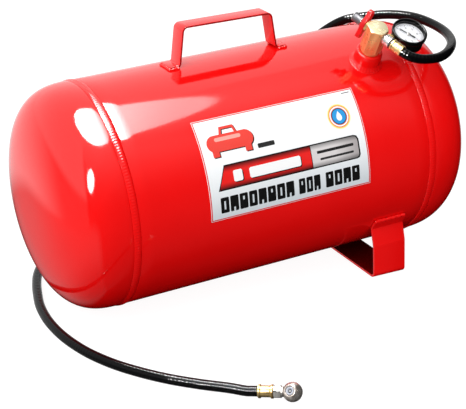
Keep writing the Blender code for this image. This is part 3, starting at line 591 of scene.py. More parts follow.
# ---------------- vessel ----------------
turned("shell_skin", [(130.1, SHELL_HALF), (131.5, SHELL_HALF), (131.85, SHELL_HALF - 0.15), (TANK_R, SHELL_HALF - 0.6)]
       + [(TANK_R, SHELL_HALF - 0.6 - (2 * SHELL_HALF - 1.2) * i / 24) for i in range(1, 24)]
       + [(TANK_R, -SHELL_HALF + 0.6), (131.85, -SHELL_HALF + 0.15), (131.5, -SHELL_HALF), (130.1, -SHELL_HALF)], RIGHT, M_RED, "tank_shell", 288)


def dome(radius, depth, n):
    return [(radius * math.sin(math.pi / 2 * i / n) ** (2 / HEAD_POWER), HALF_STRAIGHT + depth * max(0.0, math.cos(math.pi / 2 * i / n)) ** (2 / HEAD_POWER)) for i in range(n + 1)]


outer = [p for p in dome(TANK_R, HEAD_DEPTH, 56) if p[1] > 196.6]
outer[0] = (0.0, HALF_STRAIGHT + HEAD_DEPTH)
head_prof = outer + [(TANK_R, 196.0), (131.9, 195.45), (131.5, 195.2), (129.8, 191.0), (129.8, 173.0), (128.5, 173.0)]
for side, m4 in (("left", LEFT), ("right", RIGHT)):
    turned("head_skin_" + side, head_prof, m4, M_RED, "head_" + side, 288)
    n_r, n_s = 248, 248 * 6
    rings = []
    ph = rng.uniform(0, 2 * math.pi, 6)
    for i in range(n_s):
        a = 2 * math.pi * i / n_s
        wob = 0.10 * math.sin(7 * a + ph[0]) + 0.07 * math.sin(17 * a + ph[1]) + 0.05 * math.sin(41 * a + ph[2])
        ring = []
        for z, r in ((186.15, 130.4), (186.15, 131.9), (186.9, 132.35), (188.2, 132.62), (189.6, 132.78), (190.9, 132.78), (192.2, 132.62), (193.6, 132.38), (194.9, 131.9), (194.9, 130.4)):
            q = (z - 190.5) / 4.4
            lump = 0.16 * math.cos(n_r * a + 2.6 * q * q + 0.8 * math.sin(5 * a + ph[3])) * max(0.0, 1 - q * q) if r > 131.95 else 0.0
            edge = wob * (1 if z > 190.5 else -1) * (abs(q) > 0.9) * 0.8
            rr = r + lump + (0.05 * math.sin(23 * a + ph[4]) if r > 132.0 else 0)
            ring.append((rr * math.cos(a), rr * math.sin(a), z + edge))
        rings.append(ring)
    loft("weld_bead_" + side, rings, m4, M_RED_WELD, "weld_ring_" + side, loop=True, sharp=60)



def ripple_bead(name, path, radius, node, pitch=2.4, amp=0.10, mat=None, squash_z=1.0):
    path = smooth_path(path, 0.45)
    s = np.r_[0, np.cumsum(np.linalg.norm(np.diff(path, axis=0), axis=1))]
    total = s[-1]
    ph = rng.uniform(0, 6.28, 3)

    def rad(i):
        e = min(1.0, (min(s[i], total - s[i]) + 0.3) / (radius * 1.0))
        return radius * (math.sqrt(max(0.02, 1 - (1 - e) ** 2))) * (1 + amp * (abs(math.sin(math.pi * s[i] / pitch + 0.5 * math.sin(s[i] * 0.6 + ph[0]))) - 0.5) + 0.05 * math.sin(s[i] * 0.9 + ph[1]))

    path = path + np.stack([0.12 * np.sin(s * 0.8 + ph[k_]) for k_ in range(3)], 1)
    world = [tuple(TANK @ Vector(p)) for p in path]
    ob = sweep_tube(name, world, rad, 18, mat or M_RED_WELD)
    if node:
        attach(ob, BODY[node])
        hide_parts(node)
    else:
        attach(ob, "tank")
    return ob


# lengthwise seam: flat, wide, finely rippled
rings = []
n_s = 900
for i in range(n_s + 1):
    x = -184.0 + 368.0 * i / n_s
    ring = []
    w = 1 + 0.05 * math.sin(x * 0.21) + 0.04 * math.sin(x * 0.53 + 1)
    for off, hgt in ((-3.4, 0.02), (-2.6, 0.55), (-1.3, 0.95), (0.0, 1.05), (1.3, 0.95), (2.6, 0.55), (3.4, 0.02), (0.0, -0.4)):
        a = math.radians(-72.5) + off * w / TANK_R
        rad_ = TANK_R + hgt + (0.1 * math.cos(2 * math.pi * (x + 0.25 * off * off) / 2.6) if hgt > 0.3 else 0)
        ring.append((x, rad_ * math.cos(a), rad_ * math.sin(a)))
    rings.append(ring)
loft("seam_bead", rings, TANK, M_RED_WELD, "shell_seam_weld", sharp=60)

# ---------------- handle ----------------
ho = strap_outline(rounded(HANDLE_PATH, HANDLE_BENDS, 16), STRAP_T)
handle = loft("handle_strap", [[(p.x, y, p.y) for p in ho] for y in (-STRAP_W / 2, STRAP_W / 2)], TANK, M_RED, "carry_handle", bevel=0.5, bseg=3, sharp=40)

handle.data.materials.append(M_RED_CUT_EDGE_SHADE)
# the strap's thin cut-edge faces take the darker red as painted shade
for p in handle.data.polygons:
    if abs(p.normal.y) > 0.8:
        p.material_index = 1


def top_z(y, up=0.0):
    return math.sqrt(TANK_R ** 2 - y * y) + up


for side, x_tip, sgn, leg in (("left", -87.0, -1, -75.6), ("right", 62.6, 1, 52.2)):
    xs = x_tip + sgn * 0.6
    pts = [(leg, -12.9, top_z(12.9, 0.9)), (leg + (x_tip - leg) * 0.5, -12.8, top_z(12.8, 0.8)), (xs - sgn * 0.8, -12.7, top_z(12.7, 0.8)),
           (xs, -11.5, top_z(11.5, 0.8)), (xs, -5.0, top_z(5.0, 0.9)), (xs, 5.0, top_z(5.0, 0.9)), (xs, 11.5, top_z(11.5, 0.8)),
           (xs - sgn * 0.8, 12.7, top_z(12.7, 0.8)), (leg, 12.9, top_z(12.9, 0.9))]
    ripple_bead("handle_bead_" + side, pts, 1.75, "handle_weld_" + side, 2.6, 0.22)
    ripple_bead("handle_tack_" + side, [(leg + sgn * 1.4, -12.6, top_z(12.6, 1.8)), (leg + sgn * 1.4, -9.0, top_z(9.0, 2.6)), (leg + sgn * 1.3, -5.0, top_z(5.0, 2.4))], 1.5, None, 2.2, 0.25)

# ---------------- foot ----------------
fo = strap_outline(rounded(FOOT_PATH, FOOT_BENDS, 12), FOOT_T)
lvl = math.tan(TILT)
xc = (FOOT_X0 + FOOT_X1) / 2
base = AXIS_H + math.sin(TILT) * xc + math.cos(TILT) * (-144.55 - FOOT_T / 2)
rings = [[(x, p.x, p.y - ((x - xc) * lvl + base / math.cos(TILT) if p.y < -106 else 0.0)) for p in fo] for x in (FOOT_X0, FOOT_X1)]
foot = loft("foot_strap", rings, TANK, M_RED, "foot_bracket", bevel=0.4, bseg=3, sharp=40)
# painted shade on the foot's inner faces, those facing the tank and each other, through the darkened red
foot.data.materials.append(M_RED_PAINTED_SHADE)
for p in foot.data.polygons:
    c, n = p.center, p.normal
    if c.z < -0.085 and ((n.y > 0.5 and c.y < 0) or (n.y < -0.5 and c.y > 0) or n.z > 0.5):
        p.material_index = 1
for side, s_ in (("front", -1), ("back", 1)):
    ripple_bead("foot_bead_" + side, [(x, s_ * 114.7, -69.3) for x in (FOOT_X0 + 0.8, FOOT_X0 + 10, xc, FOOT_X1 - 10, FOOT_X1 - 0.8)], 2.0, "foot_weld_" + side, 3.0, 0.15)

# ---------------- label ----------------
DEG = TANK_R * math.pi / 180.0


def wrap(x, ang, lift):
    a = math.radians(ang)
    r = TANK_R + lift
    return (x * MM, -r * math.cos(a) * MM, r * math.sin(a) * MM)


bm = bmesh.new()
nx, na = 2, 60
rows = []
for lift in (0.1, 0.55):
    rows.append([[bm.verts.new(wrap(LABEL_X0 + (LABEL_X1 - LABEL_X0) * i / nx, LABEL_A0 + (LABEL_A1 - LABEL_A0) * j / na, lift)) for i in range(nx + 1)] for j in range(na + 1)])
for q, grid in enumerate(rows):
    for j in range(na):
        for i in range(nx):
            bm.faces.new((grid[j][i], grid[j][i + 1], grid[j + 1][i + 1], grid[j + 1][i]))
for j in range(na):
    for i in (0, nx):
        bm.faces.new((rows[0][j][i], rows[0][j + 1][i], rows[1][j + 1][i], rows[1][j][i]))
for i in range(nx):
    for j in (0, na):
        bm.faces.new((rows[0][j][i], rows[0][j][i + 1], rows[1][j][i + 1], rows[1][j][i]))
finish_mesh("label_sheet", bm, TANK, M_FILM, "label_decal", sharp=60)

art = []          # (outline in (x mm, degrees), layer, colour or function of (x, ang))


def inked(outline, layer, color):
    art.append((outline, layer, color))


def box_uv(x0, a0, x1, a1, cut=0.0):
    c, ca = cut, cut / DEG
    if not cut:
        return [(x0, a0), (x1, a0), (x1, a1), (x0, a1)]
    return [(x0 + c, a0), (x1 - c, a0), (x1, a0 + ca), (x1, a1 - ca), (x1 - c, a1), (x0 + c, a1), (x0, a1 - ca), (x0, a0 + ca)]


def disc_uv(x, a, r, n=40, a0=0.0, a1=360.0):
    return [(x + r * math.cos(math.radians(a0 + (a1 - a0) * i / n)), a + r * math.sin(math.radians(a0 + (a1 - a0) * i / n)) / DEG) for i in range(n)]


EDGE = (0.72, 0.012, 0.012)
e0, e1 = 0.5, 1.7
for x0, a0, x1, a1 in ((LABEL_X0 + e0, LABEL_A0 + e0 / DEG, LABEL_X1 - e0, LABEL_A0 + e1 / DEG), (LABEL_X0 + e0, LABEL_A1 - e1 / DEG, LABEL_X1 - e0, LABEL_A1 - e0 / DEG),
                       (LABEL_X0 + e0, LABEL_A0 + e0 / DEG, LABEL_X0 + e1, LABEL_A1 - e0 / DEG), (LABEL_X1 - e1, LABEL_A0 + e0 / DEG, LABEL_X1 - e0, LABEL_A1 - e0 / DEG)):
    inked(box_uv(x0, a0, x1, a1), 0, EDGE)


def mix(a, b, t):
    t = max(0.0, min(1.0, t))
    return tuple(p * (1 - t) + q * t for p, q in zip(a, b))


def banner(x, a):
    t = abs((a - 16.9) / 6.0)
    return mix((0.80, 0.012, 0.010), (0.008, 0.006, 0.006), (t - 0.42) / 0.5)


def panel(x, a):
    t = abs((a - 16.9) / 5.6)
    s = (x - 60.0) / 30.0
    return mix(mix((0.66, 0.63, 0.63), (0.38, 0.35, 0.35), s), (0.02, 0.02, 0.02), (t - 0.55) / 0.6)


inked([(-90.2, 10.9), (-79.0, 22.9), (86.0, 22.9), (90.6, 22.3), (92.6, 20.6), (92.6, 12.8), (91.0, 11.3), (88.0, 10.9)], 0, (0.006, 0.006, 0.006))
inked([(-88.6, 11.3), (-78.4, 22.5), (29.0, 22.5), (29.0, 11.3)], 1, banner)
inked([(29.9, 11.5), (29.9, 22.3), (85.5, 22.3), (89.2, 21.8), (90.8, 20.3), (90.8, 13.1), (89.4, 11.9), (87.4, 11.5)], 1, panel)
inked(box_uv(-68.4, 13.5, -57.2, 19.0, 1.4), 2, (0.01, 0.006, 0.006))
inked(box_uv(-69.6, 14.0, -58.4, 19.5, 1.4), 3, (0.9, 0.9, 0.9))
inked(box_uv(-48.4, 13.5, 16.4, 18.6, 1.6), 2, (0.01, 0.006, 0.006))
inked(box_uv(-49.6, 14.0, 15.2, 19.1, 1.6), 3, (0.9, 0.9, 0.9))
inked(box_uv(37.0, 17.7, 85.0, 19.1, 0.6), 2, (0.02, 0.02, 0.02))
inked(box_uv(40.0, 14.3, 84.0, 15.4, 0.5), 2, (0.03, 0.03, 0.03))
# heavy strip of blocks along the foot of the sheet
x = -89.3
cell = 0
for count, width, gap in ((8, 11.75, 4.6), (3, 9.8, 5.6), (4, 11.6, 0.0)):
    for q in range(count):
        w = width - 1.5
        inked(box_uv(x, -0.2, x + w, 7.7, 0.9), 0, (0.006, 0.006, 0.006))
        notch = (cell * 5 + 2) % 3
        lo_n, hi_n = ((4.4, 6.2), (-0.2, 1.9), (1.6, 5.8))[notch]
        inked(box_uv(x + w * 0.40, lo_n, x + w * 0.60, hi_n), 1, (0.62, 0.67, 0.71))
        x += width
        cell += 1
    x += gap
# plain tank emblem, top left
for dx, da, lay, col in ((1.1, -0.5, 0, (0.01, 0.008, 0.008)), (0.0, 0.0, 1, (0.78, 0.05, 0.035))):
    inked(disc_uv(-83 + dx, 33.6 + da, 9.5, 24, 90, 270) + disc_uv(-45 + dx, 33.6 + da, 9.5, 24, -90, 90), lay, col)
    inked(box_uv(-88 + dx, 27.1 + da, -80 + dx, 30.2 + da), lay, col)
    inked(box_uv(-48 + dx, 27.1 + da, -40 + dx, 30.2 + da), lay, col)
    inked([(-75 + dx, 37.4 + da), (-72.5 + dx, 41.4 + da), (-55.5 + dx, 41.4 + da), (-53 + dx, 37.4 + da), (-56 + dx, 37.4 + da), (-57.5 + dx, 40.1 + da), (-70.5 + dx, 40.1 + da), (-72 + dx, 37.4 + da)], lay, col)
inked(disc_uv(-80, 35.4, 2.2, 20, 90, 270) + disc_uv(-52, 35.4, 2.2, 20, -90, 90), 2, (0.86, 0.35, 0.30))
inked(box_uv(-33.0, 27.0, -12.0, 29.3, 0.8), 0, (0.02, 0.02, 0.02))
inked(box_uv(88.0, 44.3, 98.5, 44.8), 0, (0.12, 0.12, 0.13))
# round badge, top right: rings round a drop
bx, ba = 75.4, 33.4
for r, col in ((15.0, (0.98, 0.86, 0.52)), (14.0, (0.96, 0.60, 0.12)), (12.7, (0.78, 0.06, 0.03)), (11.9, (0.92, 0.90, 0.88)), (10.3, (0.78, 0.10, 0.05)), (9.6, (0.01, 0.03, 0.09)), (8.6, (0.02, 0.30, 0.68))):
    inked(disc_uv(bx, ba, r, 56), (15.5 - r) * 0.5, col)
drop = [(0, 6.4), (-1.2, 4.2), (-2.7, 1.7), (-3.5, -0.6), (-3.3, -2.8), (-2.0, -4.5), (0, -5.2), (2.0, -4.5), (3.3, -2.8), (3.5, -0.6), (2.7, 1.7), (1.2, 4.2)]
inked([(bx + p, ba + q / DEG) for p, q in drop], 4.2, (0.88, 0.93, 0.96))

bm = bmesh.new()
ink = bm.verts.layers.float_color.new("Ink")
for outline, layer, color in art:
    sub = bmesh.new()
    vs = [sub.verts.new((px, py, 0)) for px, py in outline]
    sub.faces.new(vs)
    lo_a, hi_a = min(p[1] for p in outline), max(p[1] for p in outline)
    step = 0.5 if callable(color) else 1.0
    cutpos = np.arange(math.ceil(lo_a / step) * step, hi_a, step)
    for cpos in cutpos:
        bmesh.ops.bisect_plane(sub, geom=list(sub.verts) + list(sub.edges) + list(sub.faces), plane_co=(0, cpos, 0), plane_no=(0, 1, 0), dist=1e-5)
    if callable(color):
        lo_x, hi_x = min(p[0] for p in outline), max(p[0] for p in outline)
        for cpos in np.arange(lo_x + 6, hi_x, 12):
            bmesh.ops.bisect_plane(sub, geom=list(sub.verts) + list(sub.edges) + list(sub.faces), plane_co=(cpos, 0, 0), plane_no=(1, 0, 0), dist=1e-5)
    sub.verts.index_update()
    lift = 0.57 + 0.022 * layer
    made = []
    for v in sub.verts:
        nv = bm.verts.new(wrap(v.co.x, v.co.y, lift))
        cc = color(v.co.x, v.co.y) if callable(color) else color
        nv[ink] = (*cc, 1.0)
        made.append(nv)
    for f in sub.faces:
        bm.faces.new([made[v.index] for v in f.verts])
    sub.free()
for f in bm.faces:
    f.normal_update()
    c = f.calc_center_median()
    if f.normal.dot(Vector((0, c.y, c.z))) < 0:
        f.normal_flip()
me = bpy.data.meshes.new("label_artwork")
bm.to_mesh(me)
bm.free()
ob = bpy.data.objects.new("label_artwork", me)
looks.objects.link(ob)
mw = TANK.copy()
mw.translation = TANK.translation * MM
ob.matrix_world = mw
me.shade_smooth()
me.materials.append(M_PRINT)
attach(ob, "tank")

# ---------------- boss and manifold ----------------
turned("boss_body", soften([(16.0, 128), (16.0, 146), (15.3, 149.6), (14.3, 151.0), (10.4, 151.0), (10.4, 128)], 1.2, 5), PORT, M_RED, "port_boss", 96)
rings = []
n_s = 38 * 7
for i in range(n_s):
    a = 2 * math.pi * i / n_s
    rp = 0.13 * math.cos(30 * a + 0.8 * math.sin(3 * a))
    ring = []
    for rho, dz, w_ in ((16.1, -0.6, 0), (19.9, -0.6, 0), (19.8, 0.3, 0.3), (19.5, 0.9, 0.6), (19.0, 1.25, 0.8), (18.6, 1.2, 0.8), (18.45, 1.6, 1), (18.4, 2.3, 1), (18.1, 2.8, 1),
                        (17.6, 2.95, 1), (17.4, 3.2, 1), (17.35, 3.9, 0.8), (17.1, 4.4, 0.8), (16.7, 4.6, 0.6), (16.6, 5.1, 0.4), (16.4, 5.5, 0.3), (16.1, 5.8, 0.2)):
        zs = math.sqrt(TANK_R ** 2 - (rho * math.sin(a)) ** 2)
        q = rho + rp * w_
        ring.append((q * math.cos(a), q * math.sin(a), zs + dz + 0.3 * rp * w_))
    rings.append(ring)
loft("boss_bead", rings, PORT_ROUND, M_RED, "boss_weld", loop=True, sharp=60)

hexo = [(HEX_FLAT / math.cos(math.pi / 6) * math.cos(math.radians(30 + 60 * i)), HEX_FLAT / math.cos(math.pi / 6) * math.sin(math.radians(30 + 60 * i))) for i in range(6)]
body = prism("manifold_bar", hexo, 150.0, 188.5, PORT)
boolean(body, turned("t1", [(0, HEX_TOP), (11.15, HEX_TOP), (11.7, HEX_TOP - 0.15), (13.3, HEX_TOP - 1.25), (13.3, 155.6), (11.5, 153.9), (11.4, 153.6), (11.4, HEX_BOT + 0.3), (11.1, HEX_BOT), (0, HEX_BOT)], PORT, seg=96), "INTERSECT")
boolean(body, turned("t2", [(0, 152.0), (10.1, 152.0), (10.1, 145.0), (0, 145.0)], PORT, seg=64), "UNION")
for mt, r, z0 in ((OUTLET, 5.9, 10.6), (VALVE, 5.0, 10.6), (GSTEM, 5.6, 10.6), (FILL, 5.0, 10.6)):
    boolean(body, turned("t3", [(0, z0), (r, z0), (r, 14.0), (0, 14.0)], mt, seg=48), "DIFFERENCE")
mod = body.modifiers.new("Bevel", "BEVEL")
mod.width, mod.segments, mod.limit_method, mod.angle_limit = 0.00035, 3, "ANGLE", math.radians(40)
evaluated(body)
dress(body, M_BRASS_BAR, "manifold", 35)
# upward faces take the paler brass as painted light
body.data.materials.append(M_BRASS_TOP_LIT)
body.data.materials.append(M_BRASS)
# the downward bottom chamfer takes the brighter turned brass as a painted highlight
for p in body.data.polygons:
    if p.normal.z > 0.9:
        p.material_index = 1
    elif p.center.z < (HEX_BOT + 1.6) * MM and p.normal.z < -0.2:
        p.material_index = 2

# ---------------- valve ----------------
half, w0, w1 = 18.6, 5.6, 3.9
bar = []
for s1, s2 in ((1, 1), (-1, 1), (-1, -1), (1, -1)):
    seq = [(half, 0.9), (half - 0.35, 2.0), (half - 1.0, 3.1), (half - 2.2, w1), (9.0, w1 + 0.25), (6.4, w0 - 0.5), (4.6, w0 + 0.2), (2.0, w0 + 0.6)]
    seq = [(x * s1, y * s2) for x, y in seq]
    bar += seq if s1 * s2 > 0 else seq[::-1]
tb = prism("t_bar", bar, 14.45, 20.9, VALVE, None, None, 1.5, 5)
boolean(tb, turned("t4", [(0, 10), (2.75, 10), (2.75, 30), (0, 30)], VALVE, seg=32), "DIFFERENCE")
dress(tb, M_RED_PLASTIC, "valve_t_handle", 50)
cn = turned("cap_nut", soften([(5.3, 21.2), (5.75, 21.7), (5.75, 22.9), (5.45, 23.2), (5.45, 32.3), (5.75, 32.6), (5.75, 33.2), (5.1, 34.0), (3.6, 34.0), (3.2, 33.5), (0, 33.5), (0, 29.4), (2.8, 29.4), (2.8, 21.2)], 0.3), VALVE, M_NUT, "valve_cap_nut", 48)
# painted highlight: the cap nut's far-end rim and a narrow ring near its base take the bright nickel against the dark
# grey
cn.data.materials.append(M_NICKEL)
for p in cn.data.polygons:
    if p.center.z > 33.3 * MM or 21.0 * MM < p.center.z < 21.9 * MM:
        p.material_index = 1

# ---------------- hose outlet ----------------
turned("nipple_body", soften([(5.0, 3.6), (5.0, 11.2), (4.6, 11.4), (4.6, 11.7), (5.5, 11.9), (5.5, 12.9), (6.5, 13.5), (6.5, 15.6), (6.2, 15.9), (6.2, 16.5), (6.5, 16.8), (6.5, 21.1), (6.0, 21.7), (2.9, 21.7), (2.9, 38.4), (1.8, 38.4), (1.8, 3.6)], 0.25), OUTLET, M_NICKEL_B, "outlet_nipple", 64)
turned("ring_black", soften([(6.3, 22.0), (6.55, 22.25), (6.55, 22.9), (6.3, 23.1), (3.2, 23.1), (3.2, 22.0)], 0.15), OUTLET, M_RUBBER, "outlet_ring", 48)
fer = [(6.5, 0.0), (6.95, 0.4), (6.95, 2.4), (6.5, 3.0), (6.45, 3.2), (6.45, 6.6), (6.75, 7.1), (6.75, 8.3), (6.45, 8.8), (6.45, 12.2), (6.9, 12.8), (6.9, 15.0), (6.4, 15.45)]
turned("ferrule_tank", soften([(r, 23.4 + z) for r, z in fer] + [(3.2, 38.85), (3.2, 23.4)], 0.3), OUTLET, M_BRASS, "outlet_ferrule", 64)

# ---------------- ball chuck ----------------
fc = turned("ferrule_chuck", soften([(6.8, 0.3), (7.35, 0.8), (7.35, 2.6), (6.3, 3.2), (6.15, 3.4), (6.15, 13.3), (6.3, 13.6), (7.35, 14.2), (7.35, 16.2), (6.8, 16.7), (2.9, 16.7), (2.9, 0.3)], 0.3), CHUCK, M_BRASS, "chuck_ferrule", 64)
# a corner flat 1.3 mm wide between each two sides of the hexagon
neck6 = [(7.05 * math.cos(math.radians(60 * i + t)), 7.05 * math.sin(math.radians(60 * i + t))) for i in range(6) for t in (-5.3, 5.3)]
nk = prism("neck_hex", neck6, 17.0, 25.0, CHUCK)
boolean(nk, turned("t5", [(0, 25.0), (6.2, 25.0), (7.6, 24.1), (7.6, 17.9), (6.2, 17.0), (0, 17.0)], CHUCK, seg=64), "INTERSECT")
boolean(nk, turned("t6", [(0, 26.8), (5.4, 26.8), (5.4, 18.0), (2.6, 18.0), (2.6, 0.9), (0, 0.9)], CHUCK, seg=48), "UNION")
mod = nk.modifiers.new("Bevel", "BEVEL")
mod.width, mod.segments, mod.limit_method, mod.angle_limit = 0.0003, 3, "ANGLE", math.radians(40)
evaluated(nk)
dress(nk, M_NICKEL_N, "chuck_neck", 25)
# the narrow corner flats between the hexagon's sides take the near-black ink, against the nickel flats
nk.data.materials.append(M_INK)
for p in nk.data.polygons:
    a = math.degrees(math.atan2(p.normal.y, p.normal.x)) % 60
    if abs(p.normal.z) < 0.5 and 17 * MM < p.center.z < 25 * MM and p.center.xy.length > 6.6 * MM and abs(a - 30) > 20:
        p.material_index = 1
top = 8.4
rt = math.sqrt(BALL_R ** 2 - top ** 2)
arc = [(BALL_R * math.cos(math.radians(a)), BALL_R * math.sin(math.radians(a))) for a in np.linspace(-67.2, 52.6, 40)]
prof = [(0, -9.68)] + arc + [(rt - 0.35, top), (5.0, top), (4.6, top - 0.4), (4.6, -1.0), (1.9, -1.6), (1.9, -6.0), (0, -6.0)]
bl = turned("ball_body", prof, BALL, seg=96)
boolean(bl, turned("t7", [(0, 9.3), (12, 9.3), (12, 20), (0, 20)], mm_frame(CHUCK_START + CHUCK_DIR * BALL_OUT, -CHUCK_DIR, (0, 0, 1)), seg=48), "DIFFERENCE")
dress(bl, M_CHROME, "chuck_ball", 35)
seal = turned("seal_ring", soften([(4.3, 8.2), (4.3, 3.6), (2.0, 3.6), (2.0, 7.2), (2.8, 8.2)], 0.4), BALL, M_SEAL, "chuck_seal", 48)

# ---------------- gauge ----------------
turned("bezel_ring", soften([(19.9, 4.9), (20.7, 4.9), (20.98, 5.3), (20.98, 9.1), (20.6, 9.85), (19.8, 10.18), (19.0, 10.0), (18.2, 9.45), (19.9, 9.45)], 0.3, 4), GAUGE, M_BLACK, "gauge_bezel", 96)
cs = turned("case_cup", soften([(0, -9.3), (17.4, -9.3), (19.2, -8.5), (19.6, -7.4), (19.6, 7.5), (18.5, 7.5), (18.5, -7.7), (17.6, -8.3), (0, -8.3)], 0.6, 4), GAUGE, seg=96)
boolean(cs, turned("t8", [(0, 20.0), (4.75, 20.0), (4.75, 30.0), (0, 30.0)], GSTEM, seg=40), "DIFFERENCE")
dress(cs, M_BLACK, "gauge_case", 40)
turned("window_disc", [(0, 9.1), (19.3, 9.1), (19.5, 8.9), (19.5, 8.05), (19.3, 7.85), (0, 7.85)], GAUGE, M_GLASS, "gauge_window", 64)
turned("dial_plate", soften([(1.4, 3.4), (18.2, 3.4), (18.2, 2.9), (1.4, 2.9)], 0.1), GAUGE, M_DIAL, "gauge_dial", 96)

bm = bmesh.new()
mats = []


def flat_quad(pts, z):
    bm.faces.new([bm.verts.new((px * MM, py * MM, z * MM)) for px, py in pts])


def dial_dir(s):
    """Direction of a scale position, s degrees clockwise from zero."""
    a = math.radians(-90 - POINTER_ZERO - s)
    return Vector((math.cos(a), math.sin(a)))


def tick(s, r0, r1, w):
    d = dial_dir(s)
    n = Vector((-d.y, d.x))
    flat_quad([tuple(d * r0 - n * w / 2), tuple(d * r1 - n * w / 2), tuple(d * r1 + n * w / 2), tuple(d * r0 + n * w / 2)], 3.44)


for i in range(37):
    s = POINTER_SWEEP * i / 36
    if i % 6 == 0:
        tick(s, 13.6, 16.6, 0.42)
    else:
        tick(s, 15.0, 16.6, 0.2 if i % 3 else 0.3)
n_arc = 90
for r0, r1 in ((16.5, 16.75),):
    for i in range(n_arc):
        d0, d1 = dial_dir(POINTER_SWEEP * i / n_arc), dial_dir(POINTER_SWEEP * (i + 1) / n_arc)
        flat_quad([tuple(d0 * r0), tuple(d0 * r1), tuple(d1 * r1), tuple(d1 * r0)], 3.44)
bmesh.ops.recalc_face_normals(bm, faces=bm.faces)
for f in bm.faces:
    if f.normal.z < 0:
        f.normal_flip()
me = bpy.data.meshes.new("dial_marks")
bm.to_mesh(me)
bm.free()
marks = bpy.data.objects.new("dial_marks", me)
looks.objects.link(marks)
mw = GAUGE.copy()
mw.translation = GAUGE.translation * MM
marks.matrix_world = mw
me.materials.append(M_INK)
me.materials.append(M_INK_RED)
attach(marks, "tank")
bm = bmesh.new()
tick(180.6, 12.4, 16.6, 0.9)
for f in bm.faces:
    f.normal_update()
    if f.normal.z < 0:
        f.normal_flip()
me = bpy.data.meshes.new("dial_red_mark")
bm.to_mesh(me)
bm.free()
rm = bpy.data.objects.new("dial_red_mark", me)
looks.objects.link(rm)
rm.matrix_world = mw @ Matrix.Translation((0, 0, 0.00002))
me.materials.append(M_INK_RED)
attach(rm, "tank")
for i in range(7):
    s = POINTER_SWEEP * i / 6
    d = dial_dir(s) * 10.9
    tc = bpy.data.curves.new("dial_number_%d" % i, "FONT")
    tc.body = str(30 * i)
    tc.size = 2.9 * MM
    tc.align_x = tc.align_y = "CENTER"
    tc.extrude = 0.00001
    tc.materials.append(M_INK)
    to = bpy.data.objects.new("dial_number_%d" % i, tc)
    looks.objects.link(to)
    to.matrix_world = mw @ Matrix.Translation((d.x * MM, d.y * MM, 3.44 * MM))
    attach(to, "tank")

# needle with a broad tail, and its bright hub cap
pa = dial_dir(0)
pn = Vector((-pa.y, pa.x))
needle = [(12.7, 0), (11.6, 0.55), (1.6, 0.75), (-1.6, 0.85), (-8.2, 1.25), (-8.8, 0.8), (-8.8, -0.8), (-8.2, -1.25), (-1.6, -0.85), (1.6, -0.75), (11.6, -0.55)]
prism("needle", [tuple(pa * u + pn * v) for u, v in needle], 4.6, 5.0, GAUGE, M_INK, "gauge_pointer", 0.08, 2)
hub = turned("needle_hub", soften([(0, 5.5), (1.7, 5.5), (2.1, 5.1), (2.1, 4.3), (0.62, 4.2), (0.62, 1.55), (0, 1.55)], 0.2), GAUGE, M_NICKEL, None, 32)
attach(hub, "pointer")

# ---------------- fill valve cap with grip ribs ----------------
rings = []
for z, r in ((16.0, 4.5), (16.15, 4.95), (17.0, 5.1), (27.6, 5.1), (28.7, 4.8), (29.2, 4.1)):
    rib = 0.22 if 16.5 < z < 28.0 else 0.05
    rings.append([((r - rib * (0.5 - 0.5 * math.cos(24 * a))) * math.cos(a), (r - rib * (0.5 - 0.5 * math.cos(24 * a))) * math.sin(a), z) for a in (2 * math.pi * j / 144 for j in range(144))])
cp = loft("cap_ribbed", rings, FILL, sharp=40)
boolean(cp, turned("t9", [(0, 15), (4.15, 15), (4.15, 27.9), (0, 27.9)], FILL, seg=48), "DIFFERENCE")
dress(cp, M_PLASTIC, "fill_valve_cap", 40)

# ---------------- CAD nodes kept, in their finishes ----------------
KEEP = {"valve_packing_nut": M_BRASS, "valve_stem": M_STEEL, "valve_disc": M_RUBBER, "chuck_pin": M_NICKEL_B, 
        "gauge_pinion": M_BRASS, "gauge_sector": M_BRASS, "gauge_movement_plate": M_BRASS, "gauge_link": M_BRASS, "gauge_bourdon_tube": M_BRASS,
        "gauge_stem": M_BRASS, "fill_valve_body": M_BRASS, "fill_valve_core": M_BRASS, "fill_valve_pin": M_STEEL}
for node, mat in KEEP.items():
    o = frame["nodes"][node]
    if len(o.material_slots) == 0:
        o.data.materials.append(mat)
    for ms in o.material_slots:
        ms.material = mat

# ---------------- floor, world and lights ----------------
fm = Mat("floor_pale", (0.86, 0.86, 0.86), 0.9, 0.0, 0.1)
fm.link(fm.ramp(fm.noise(3.0), [(0.3, (0.15, 0.15, 0.15)), (0.7, (0.17, 0.17, 0.17))]), "Base Color")
bm = bmesh.new()
bmesh.ops.create_grid(bm, x_segments=4, y_segments=4, size=12.0)
me = bpy.data.meshes.new("floor")
bm.to_mesh(me)
bm.free()
floor = bpy.data.objects.new("floor", me)
bpy.context.scene.collection.objects.link(floor)
floor.location.z = -0.0003
me.materials.append(fm.m)
fm.set("Emission Color", (1.0, 1.0, 1.0, 1.0))
fm.set("Emission Strength", 0.94)
floor.visible_glossy = False
floor.visible_diffuse = False

world = bpy.data.worlds.new("studio")
bpy.context.scene.world = world
world.use_nodes = True
wt = world.node_tree
wt.nodes.clear()
out = wt.nodes.new("ShaderNodeOutputWorld")
tc = wt.nodes.new("ShaderNodeTexCoord")
sx = wt.nodes.new("ShaderNodeSeparateXYZ")
wt.links.new(tc.outputs["Generated"], sx.inputs[0])
DX, DY, DZ = sx.outputs


def wm(op, a, b=0.0):
    n = wt.nodes.new("ShaderNodeMath")
    n.operation = op
    for k_, v in enumerate((a, b)):
        if isinstance(v, (int, float)):
            n.inputs[k_].default_value = v
        else:
            wt.links.new(v, n.inputs[k_])
    return n.outputs[0]


